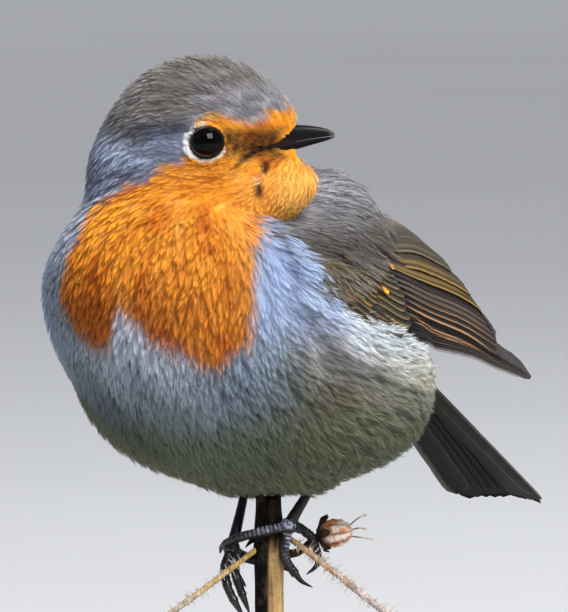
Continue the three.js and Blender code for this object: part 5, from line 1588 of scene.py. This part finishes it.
def leg_colour(pitch, length, bright):
    def f(T, A, P):
        mm = T * length
        s = saw(mm / pitch)
        n = wobble(P, 1.6, 11)
        top = np.clip(np.sin(A), 0, 1)
        c = lerp(srgb(12, 10, 10), srgb(28, 24, 23), (0.4 + 0.35 * n).clip(0, 1)[..., None])
        # painted highlights: bluish-white glints on the scales' upper faces, mostly near the ball of the foot
        glint = bright * top * (1 - ramp(s, 0.3, 0.85)) * ramp(s, 0.02, 0.12) * ramp(n, -0.9, 0.2) * (1 - 0.88 * ramp(T, 0.25, 0.7)) * (0.45 + 0.55 * ramp(wobble(P, 0.55, 14), -0.4, 0.25))
        c = lerp(c, srgb(205, 212, 240), (glint * 0.9)[..., None])
        return lerp(c, srgb(14, 11, 10), (np.exp(-(np.minimum(s, 1 - s) / 0.05) ** 2) * 0.8)[..., None])
    return f


for word, leg in LEGS.items():
    foot, claws = Solids(), Solids()
    heel, palm = np.array(leg["heel"], float), np.array(leg["palm"], float)
    for name, pts in leg["toes"].items():
        _, ln = curve(pts, 10)
        away = np.array([p for p in pts], float).mean(0) - (STEM_AXIS + [0, 0, 0])
        away = np.array([away[0], away[1], 3.0 if word == "left" else 1.5])
        pitch = 0.66
        foot.add(*tube([palm * 0.55 + np.array(pts[0]) * 0.45] + pts[1:], max(40, int(ln * 9)), 18,
                       lambda t: ((0.93 - 0.26 * t) * (1 + 0.06 * np.cos(t * 18)), (0.88 - 0.24 * t) * (1 + 0.05 * np.cos(t * 18 + 1))), unit(away),
                       lambda T, A, mm: scaled(T, A, mm, math.pi / 2, pitch, 0.12), leg_colour(pitch, ln, 1.0 if (word, name) in (("left", "middle"), ("left", "inner")) else 0.12)))
        tips = leg["claws"][name]
        end = np.array(pts[-1], float)
        back = end - (np.array(pts[-1]) - np.array(pts[-2])) * 0.12
        claws.add(*tube([back, end] + tips, 26, 14, lambda t: (0.56 * (1 - t) ** 0.75 * (1 - 0.35 * ramp(t, 0, 0.3)) + 0.04, 0.66 * (1 - t) ** 0.75 + 0.05), unit(away), None,
                        lambda T, A, P: lerp(srgb(34, 28, 25), srgb(14, 12, 12), ramp(T, 0.1, 0.6)[..., None]) + 0 * P))
    # the ball of the foot
    th = np.linspace(0.05, math.pi - 0.05, 22); ph = np.linspace(0, 2 * math.pi, 30, endpoint=False)
    TH, PH = np.meshgrid(th, ph, indexing="ij")
    r = 1.42 + 0.07 * np.sin(PH * 7) * np.sin(TH * 5)
    P = palm + r[..., None] * np.stack([np.sin(TH) * np.cos(PH), np.sin(TH) * np.sin(PH), np.cos(TH)], -1)
    V, faces = rings(P)
    n = wobble(V, 1.4, 12)
    ball = lerp(srgb(14, 12, 12), srgb(44, 43, 48), (0.4 + 0.4 * n).clip(0, 1)[:, None])
    # painted highlights: a bluish-white gleam on the ball of the foot
    gleam = ramp(wobble(V, 0.5, 15), -0.25, 0.25) * ramp(wobble(V, 1.3, 16), -0.7, 0.1) * ramp(V[:, 2] - palm[2], -0.6, 0.3) * (0.9 if word == "left" else 0.2)
    foot.add(V, faces, lerp(ball, srgb(205, 212, 240), gleam[:, None]))
    foot.make(f"foot_{word}_scaled", MAT_LEG, "leg", [f"foot_{word}"])
    claws.make(f"claws_{word}", MAT_CLAW, "claw", [f"claw_{word}_{k}" for k in leg["toes"]])
    shank = Solids()
    mid = heel * 0.5 + palm * 0.5 + np.array([0.15, 0.3, 0])
    _, ln = curve([heel, mid, palm], 10)
    shank.add(*tube([heel, mid, palm], 120, 24, lambda t: (0.95 * (1.10 - 0.3 * np.sin(math.pi * np.minimum(1, t * 1.1))) * 0.92, 0.95 * (1.22 - 0.3 * np.sin(math.pi * t)) * 0.95),
                    (0.5, -0.8, 0.2), lambda T, A, mm: scaled(T, A, mm, math.pi / 2, 1.5, 0.10) * 0.9, leg_colour(1.5, ln, 0.03)))
    shank.make(f"tarsus_{word}_scaled", MAT_LEG, "leg", [f"tarsus_{word}"])


# ------------------------------------------------------------------ the perch
def mm_abs(*p):
    return np.array(p, float) - T0


def straw(bump=0.6):
    def build(nt, b, node, link):
        at = node("ShaderNodeAttribute", attribute_name="plumage")
        tc = node("ShaderNodeTexCoord").outputs["Object"]
        fibre = noise(node, link, 1.0, 5, 0.65, tc, (2600, 2600, 160))
        blot = noise(node, link, 420, 4, 0.6, tc)
        speck = noise(node, link, 1500, 3, 0.6, tc)
        c = mixed(node, link, span(node, link, fibre, 0.38, 0.7, 0.0, 0.6), at.outputs["Color"], (0.05, 0.03, 0.015), "MULTIPLY")
        c = mixed(node, link, span(node, link, blot, 0.5, 0.72, 0.0, 0.5), c, (0.10, 0.06, 0.035))
        c = mixed(node, link, span(node, link, speck, 0.58, 0.72, 0.0, 0.6), c, (0.02, 0.014, 0.01))
        link(c, b.inputs["Base Color"])
        link(span(node, link, fibre, 0.3, 0.7, 0.5, 0.8), b.inputs["Roughness"])
        b.inputs["Specular IOR Level"].default_value = 0.06
        h = node("ShaderNodeMath", operation="ADD")
        link(fibre, h.inputs[0]); link(blot, h.inputs[1])
        bumped(node, link, b, h.outputs[0], bump, 0.0004)
    return build


MAT_STEM = material("dry_stem", straw())
MAT_HUSK = material("dry_husk", straw(0.8))
MAT_HAIR = material("stem_hair", glossy(0.5, 0.3, 0.0, 0.2, 2000, amount=0.2, dark=(0.2, 0.17, 0.13)))

stem = Solids()
CAM_RIGHT, CAM_BACK = np.array([0.819, 0.574, 0.0]), np.array([-0.574, 0.819, 0.0])


def stem_mesh():
    n, m = 260, 64
    c, length = curve([mm_abs(0.5, 0.2, 30), mm_abs(0.2, 0.1, 46), mm_abs(0, 0, 60), mm_abs(0, 0, 68), mm_abs(-0.3, 0.2, 75.4)], n)
    A = np.linspace(0, 2 * math.pi, m, endpoint=False)
    z = c[:, 2] + T0[2]
    r = 2.4 * (1 + 0.06 * np.exp(-((z - 66.5) / 3.5) ** 2) - 0.12 * ramp(z, 70, 74))
    g = math.radians(-60)  # where the furrow runs
    d = (A[None] - g + 0.12 * np.sin(z / 17)[:, None] + math.pi) % (2 * math.pi) - math.pi
    far = (d + 2 * math.pi) % (2 * math.pi) - math.pi
    R = r[:, None] * (1 - 0.20 * np.exp(-(d / 0.20) ** 2) - 0.14 * np.exp(-(far / 0.25) ** 2))
    ribs = 0.035 * np.sin(A * 17)[None] + 0.02 * np.sin(A * 31 + 1)[None]
    R = R + ribs * (1 + 0.5 * np.sin(z * 0.7)[:, None]) + 0.10 * np.exp(-((z - 66.5) / 1.0) ** 2)[:, None]
    # splintered top
    top = ramp(z, 73.6, 75.4)[:, None]
    P = c[:, None] + np.stack([np.cos(A)[None] * R, np.sin(A)[None] * R, np.zeros_like(R)], -1)
    P[..., 2] += top * (0.9 * np.sin(A * 5) * np.sin(A * 2 + 1) - 0.3)[None]
    V, faces = rings(P)
    right = ramp(np.sin(d) * 1.0, -0.15, 0.15)  # one side of the furrow is pale straw; the other is painted dark, as the stem's shaded side
    n1 = wobble(P, 5.0, 21); n2 = wobble(P * np.array([1, 1, 0.15]), 0.9, 22)
    pale = lerp(srgb(176, 142, 92), srgb(200, 170, 120), (0.5 + 0.4 * n2)[..., None].clip(0, 1))
    pale = lerp(pale, srgb(168, 108, 92), (0.55 * ramp(n1, 0.25, 0.9))[..., None])
    dark = lerp(srgb(7, 7, 4), srgb(16, 15, 9), (0.5 + 0.4 * n2)[..., None].clip(0, 1))
    C = lerp(dark, pale, right[..., None])
    # painted shade: the stem dark brown above the node, under the bird
    C = lerp(C, srgb(24, 19, 15), (ramp(np.broadcast_to(z[:, None], right.shape) + 0.8 * n2, 65.5, 68.5) * 0.95)[..., None])
    C = np.concatenate([C.reshape(-1, 3), C[0].mean(0)[None], srgb(30, 22, 16)[None]])
    stem.add(V, faces, C)


def stem_pale_side():
    pass


def twig(points, r0, r1, near, far_c, hairs, down_only=0.0):
    pts = [np.array(p, float) for p in points]
    c, length = curve(pts, 130)
    V, faces, C = tube(pts, 130, 20, lambda t: ((r0 + (r1 - r0) * t) * (1 + 0.05 * np.sin(t * 23)), (r0 + (r1 - r0) * t) * (1 + 0.05 * np.sin(t * 19 + 2))), (0.2, 0.9, 0.3),
                       lambda T, A, mm: 0.03 * np.sin(A * 7) + 0.025 * np.sin(A * 3 + mm * 1.3),
                       lambda T, A, P: lerp(near, far_c, ramp(T + 0.12 * wobble(P, 3.0, 31), 0.15, 0.8)[..., None]) * (1 + 0.12 * wobble(P * np.array([1, 1, 1]), 0.8, 32))[..., None])
    stem.add(V, faces, C)
    hair = Solids()
    tan = unit(np.gradient(c, axis=0))
    k = rng.integers(20, 128, hairs)
    ref = unit(rng.normal(size=(hairs, 3)))
    out = unit(ref - tan[k] * (ref * tan[k]).sum(1, keepdims=True))
    r = r0 + (r1 - r0) * k / 129
    out_dir = unit(out + tan[k] * rng.uniform(-0.1, 0.5, (hairs, 1)))
    return c[k] + out * (r * 0.92)[:, None], out_dir, rng.uniform(0.7, 1.9, hairs)


stem_mesh()
h1 = twig([(2.7, 2.1, -38.2), (1.1, -1.6, -40.6), (-3.7, -6.9, -45.7), (-7.3, -10.5, -49.3), (-9.5, -12.5, -51.4)], 0.44, 0.52, srgb(216, 182, 108), srgb(206, 192, 170), 150)
h2 = twig([(4.7, 4.8, -35.4), (7.8, 5.0, -37.0), (13.1, 8.1, -41.6), (20.8, 12.9, -48.8), (23.4, 14.6, -51.4)], 0.46, 0.62, srgb(196, 160, 118), srgb(200, 186, 184), 240)
stem.make("perch_stalks", MAT_STEM, "stem", ["perch_stem", "perch_twig_left", "perch_twig_right"])
hair = Solids()
R0, D0, L0 = (np.concatenate([a, b]) for a, b in zip(h1, h2))
spines(hair, R0, D0, L0, 0.075, lerp(srgb(168, 156, 140), srgb(226, 218, 206), rng.random((len(R0), 1))), bend=rng.normal(0, 0.22, (len(R0), 3)))
hair.make("perch_bristles", MAT_HAIR, "stem")


def husk():
    made = Solids()
    ax = unit(np.array([4.0, 3.0, 0.7])); base = np.array([9.0, 10.3, -36.4])
    s = unit(np.cross(ax, [0, 0, 1.0])); w = np.cross(s, ax)
    prof_x = np.array([0, 0.35, 1.3, 2.8, 4.4, 5.5, 5.9]); prof_r = np.array([0.35, 1.25, 2.1, 2.4, 2.05, 1.25, 0.35])
    x = np.linspace(0, 5.9, 60)
    r = np.interp(x, prof_x, prof_r)
    A = np.linspace(0, 2 * math.pi, 64, endpoint=False)
    X, AA = np.meshgrid(x, A, indexing="ij")
    R = r[:, None] * (1 + 0.09 * np.abs(np.sin(AA * 4)) ** 0.6 - 0.05) + 0.05 * np.sin(X * 5 + AA * 3)
    P = base + ax * X[..., None] + s * (np.cos(AA) * R)[..., None] + w * (np.sin(AA) * R)[..., None]
    V, faces = rings(P)
    n = wobble(P, 2.2, 41)
    C = lerp(srgb(222, 150, 92), srgb(255, 242, 228), (0.55 + 0.6 * n).clip(0, 1)[..., None])
    C = lerp(C, srgb(92, 52, 30), (0.75 * (1 - np.abs(np.sin(AA * 4)) ** 0.35))[..., None])
    C = lerp(C, srgb(60, 40, 30), (0.7 * (1 - ramp(X, 0.2, 1.4)))[..., None])
    C = np.concatenate([C.reshape(-1, 3), C[0].mean(0)[None], C[-1].mean(0)[None]])
    made.add(V, faces, C)
    # papery bracts, dark, curling back round its foot
    for k in range(7):
        a0 = k * 2 * math.pi / 7 + 0.2
        rad = s * math.cos(a0) + w * math.sin(a0)
        side_ = np.cross(ax, rad)
        t = np.linspace(0, 1, 12); q = np.linspace(-1, 1, 7)
        T, Q = np.meshgrid(t, q, indexing="ij")
        wid = 0.75 * np.sin(math.pi * (0.12 + 0.88 * T)) ** 0.7 + 0.03
        ln = rng.uniform(2.2, 3.4)
        mid = base + ax * (-0.1 + T * ln * 0.75)[..., None] + rad * (0.7 + 1.75 * ramp(T, 0, 0.5) + 0.9 * T ** 2 * rng.uniform(0.3, 1.2))[..., None] + side_ * (Q * wid)[..., None]
        nrm = rad * 0.07
        top, bot = mid + nrm + rad * (0.15 * Q ** 2)[..., None], mid - nrm + rad * (0.15 * Q ** 2)[..., None]
        ring = np.concatenate([top, bot[:, ::-1]], 1)
        V, faces = rings(ring)
        c = lerp(srgb(34, 24, 20), srgb(84, 60, 46), rng.random())
        made.add(V, faces, c)
    V, faces, C = tube([(4.4, 6.0, -39.4), (6.2, 8.5, -39.2), (8.3, 10.2, -37.2), (9.3, 10.6, -36.3)], 60, 14, lambda t: (0.75 - 0.15 * t, 0.75 - 0.15 * t), (0, 0, 1),
                       lambda T, A, mm: 0.04 * np.sin(A * 5 + mm), lambda T, A, P: srgb(72, 50, 36) * (1 + 0.3 * wobble(P, 1.2, 43))[..., None])
    made.add(V, faces, C)
    # three dry threads from its mouth
    for off, pts in ((0.9, [(0.2, 0.9), (1.9, 1.9), (3.4, 2.3)]), (0.0, [(0.4, 0.1), (1.8, 0.25), (3.2, -0.1)]), (-0.9, [(0.2, -0.9), (2.0, -1.4), (4.0, -2.0)])):
        path = [base + ax * (5.2 + p[0]) + w * p[1] + s * off * 0.3 for p in pts]
        path = [base + ax * 4.6 + w * off * 0.8] + path
        V, faces, C = tube(path, 40, 8, lambda t: (0.13 + 0.07 * np.exp(-((t - 0.93) / 0.06) ** 2), 0.13 + 0.07 * np.exp(-((t - 0.93) / 0.06) ** 2)), (0.1, 0.2, 1), None,
                           lambda T, A, P: lerp(srgb(150, 112, 84), srgb(226, 212, 194), ramp(T, 0.3, 0.9)[..., None]) + 0 * P)
        made.add(V, faces, C)
    made.make("perch_husk_dry", MAT_HUSK, "husk", ["perch_husk"])


husk()


# ------------------------------------------------------------------ the stand
def wood(nt, b, node, link):
    tc = node("ShaderNodeTexCoord").outputs["Object"]
    warp = noise(node, link, 26, 3, 0.5, tc)
    grain = noise(node, link, 1.0, 5, 0.6, tc, (38, 420, 420))
    wave = node("ShaderNodeTexWave", wave_type="BANDS", bands_direction="Y", Scale=32.0, Distortion=5.5, Detail=3.0)
    link(tc, wave.inputs["Vector"])
    pore = noise(node, link, 1.0, 3, 0.7, tc, (160, 2600, 2600))
    c = mixed(node, link, wave.outputs["Fac"], (0.105, 0.052, 0.026), (0.052, 0.025, 0.013))
    c = mixed(node, link, span(node, link, grain, 0.3, 0.7, 0.0, 0.55), c, (0.030, 0.014, 0.008))
    c = mixed(node, link, span(node, link, warp, 0.3, 0.7, 0.0, 0.3), c, (0.16, 0.08, 0.042))
    c = mixed(node, link, span(node, link, pore, 0.62, 0.75, 0.0, 0.6), c, (0.012, 0.007, 0.004))
    link(c, b.inputs["Base Color"])
    link(span(node, link, grain, 0.3, 0.7, 0.34, 0.5), b.inputs["Roughness"])
    b.inputs["Coat Weight"].default_value = 0.25
    b.inputs["Coat Roughness"].default_value = 0.25
    bumped(node, link, b, pore, 0.3, 0.0002)


def brass(nt, b, node, link):
    tc = node("ShaderNodeTexCoord").outputs["Object"]
    n = noise(node, link, 1.0, 4, 0.6, tc, (900, 900, 9000))
    n2 = noise(node, link, 240, 3, 0.6, tc)
    c = mixed(node, link, span(node, link, n2, 0.35, 0.75), (0.62, 0.47, 0.24), (0.40, 0.29, 0.14))
    link(c, b.inputs["Base Color"])
    b.inputs["Metallic"].default_value = 1.0
    link(span(node, link, n, 0.3, 0.7, 0.24, 0.42), b.inputs["Roughness"])
    bumped(node, link, b, n, 0.25, 0.0001)


for node_name, mat in (("stand_base", material("stand_walnut", wood)), ("stand_rod", material("stand_brass", brass))):
    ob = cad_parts[node_name]
    if not ob.material_slots:
        ob.data.materials.append(mat)
    for s_ in ob.material_slots:
        s_.material = mat

# ------------------------------------------------------------------ camera, floor, light
def make_scene():
    right = np.array([math.cos(math.radians(35)), math.sin(math.radians(35)), 0.0])
    el = math.radians(4)
    to_cam = np.array([math.sin(math.radians(35)) * math.cos(el), -math.cos(math.radians(35)) * math.cos(el), math.sin(el)])
    up = np.cross(to_cam, right)
    if up[2] < 0:
        up = -up
    target = T0 + 7.7 * right + 2.3 * up
    cam = bpy.data.cameras.new("camera")
    cam.sensor_width = 36; cam.sensor_fit = "AUTO"; cam.lens = 36 * 6 * 1700 / 612
    cam.clip_start, cam.clip_end = 0.05, 60
    ob = bpy.data.objects.new("camera", cam)
    bpy.context.scene.collection.objects.link(ob)
    ob.location = Vector((target + to_cam * 1700) / 1000)
    ob.rotation_mode = "QUATERNION"
    ob.rotation_quaternion = Vector(-to_cam).to_track_quat("-Z", "Y")
    bpy.context.scene.camera = ob

    me = bpy.data.meshes.new("floor")
    s = 30.0
    me.from_pydata([(-s, -s, 0), (s, -s, 0), (s, s, 0), (-s, s, 0)], [], [(0, 1, 2, 3)])
    floor = bpy.data.objects.new("floor", me)
    bpy.context.scene.collection.objects.link(floor)

    def paper(nt, b, node, link):
        tc = node("ShaderNodeTexCoord").outputs["Object"]
        n = noise(node, link, 3.0, 3, 0.5, tc)
        c = mixed(node, link, span(node, link, n, 0.3, 0.7, 0, 1), (0.50, 0.495, 0.485), (0.53, 0.525, 0.515))
        link(c, b.inputs["Base Color"])
        b.inputs["Roughness"].default_value = 0.9
    me.materials.append(material("floor_paper", paper))

    world = bpy.data.worlds.new("world")
    bpy.context.scene.world = world
    world.use_nodes = True
    bg = world.node_tree.nodes["Background"]
    bg.inputs[0].default_value = (0.80, 0.86, 1.0, 1)
    bg.inputs[1].default_value = 0.38

    def area(name, frm, size, power, colour):
        li = bpy.data.lights.new(name, "AREA")
        li.shape = "RECTANGLE"; li.size, li.size_y = size
        li.energy = power; li.color = colour
        o = bpy.data.objects.new(name, li)
        bpy.context.scene.collection.objects.link(o)
        o.location = Vector(target / 1000) + Vector(frm)
        o.rotation_mode = "QUATERNION"
        o.rotation_quaternion = Vector(frm).to_track_quat("Z", "Y")
        return o

    R, U, C = Vector(right), Vector((0, 0, 1)), Vector((to_cam[0], to_cam[1], 0)).normalized()
    area("key", R * 0.38 + U * 0.95 + C * 0.82, (0.75, 0.75), 34, (1.0, 0.975, 0.94))
    area("sky", R * 0.35 + U * 1.1 - C * 0.5, (0.9, 0.9), 10, (0.84, 0.90, 1.0))
    area("backdrop", U * 4.5 - C * 6.0, (5.0, 5.0), 150, (0.97, 0.98, 1.0))
    vs = bpy.context.scene.view_settings
    vs.view_transform = "Standard"
    vs.exposure = 0.0


make_scene()

# ------------------------------------------------------------------ the coat's meshes
COAT_SLOTS = {"coat_face": "orange", "coat_crown": "olive", "coat_breast": "orange", "coat_back": "olive"}
coat.build(MAT_COAT, COAT_SLOTS)
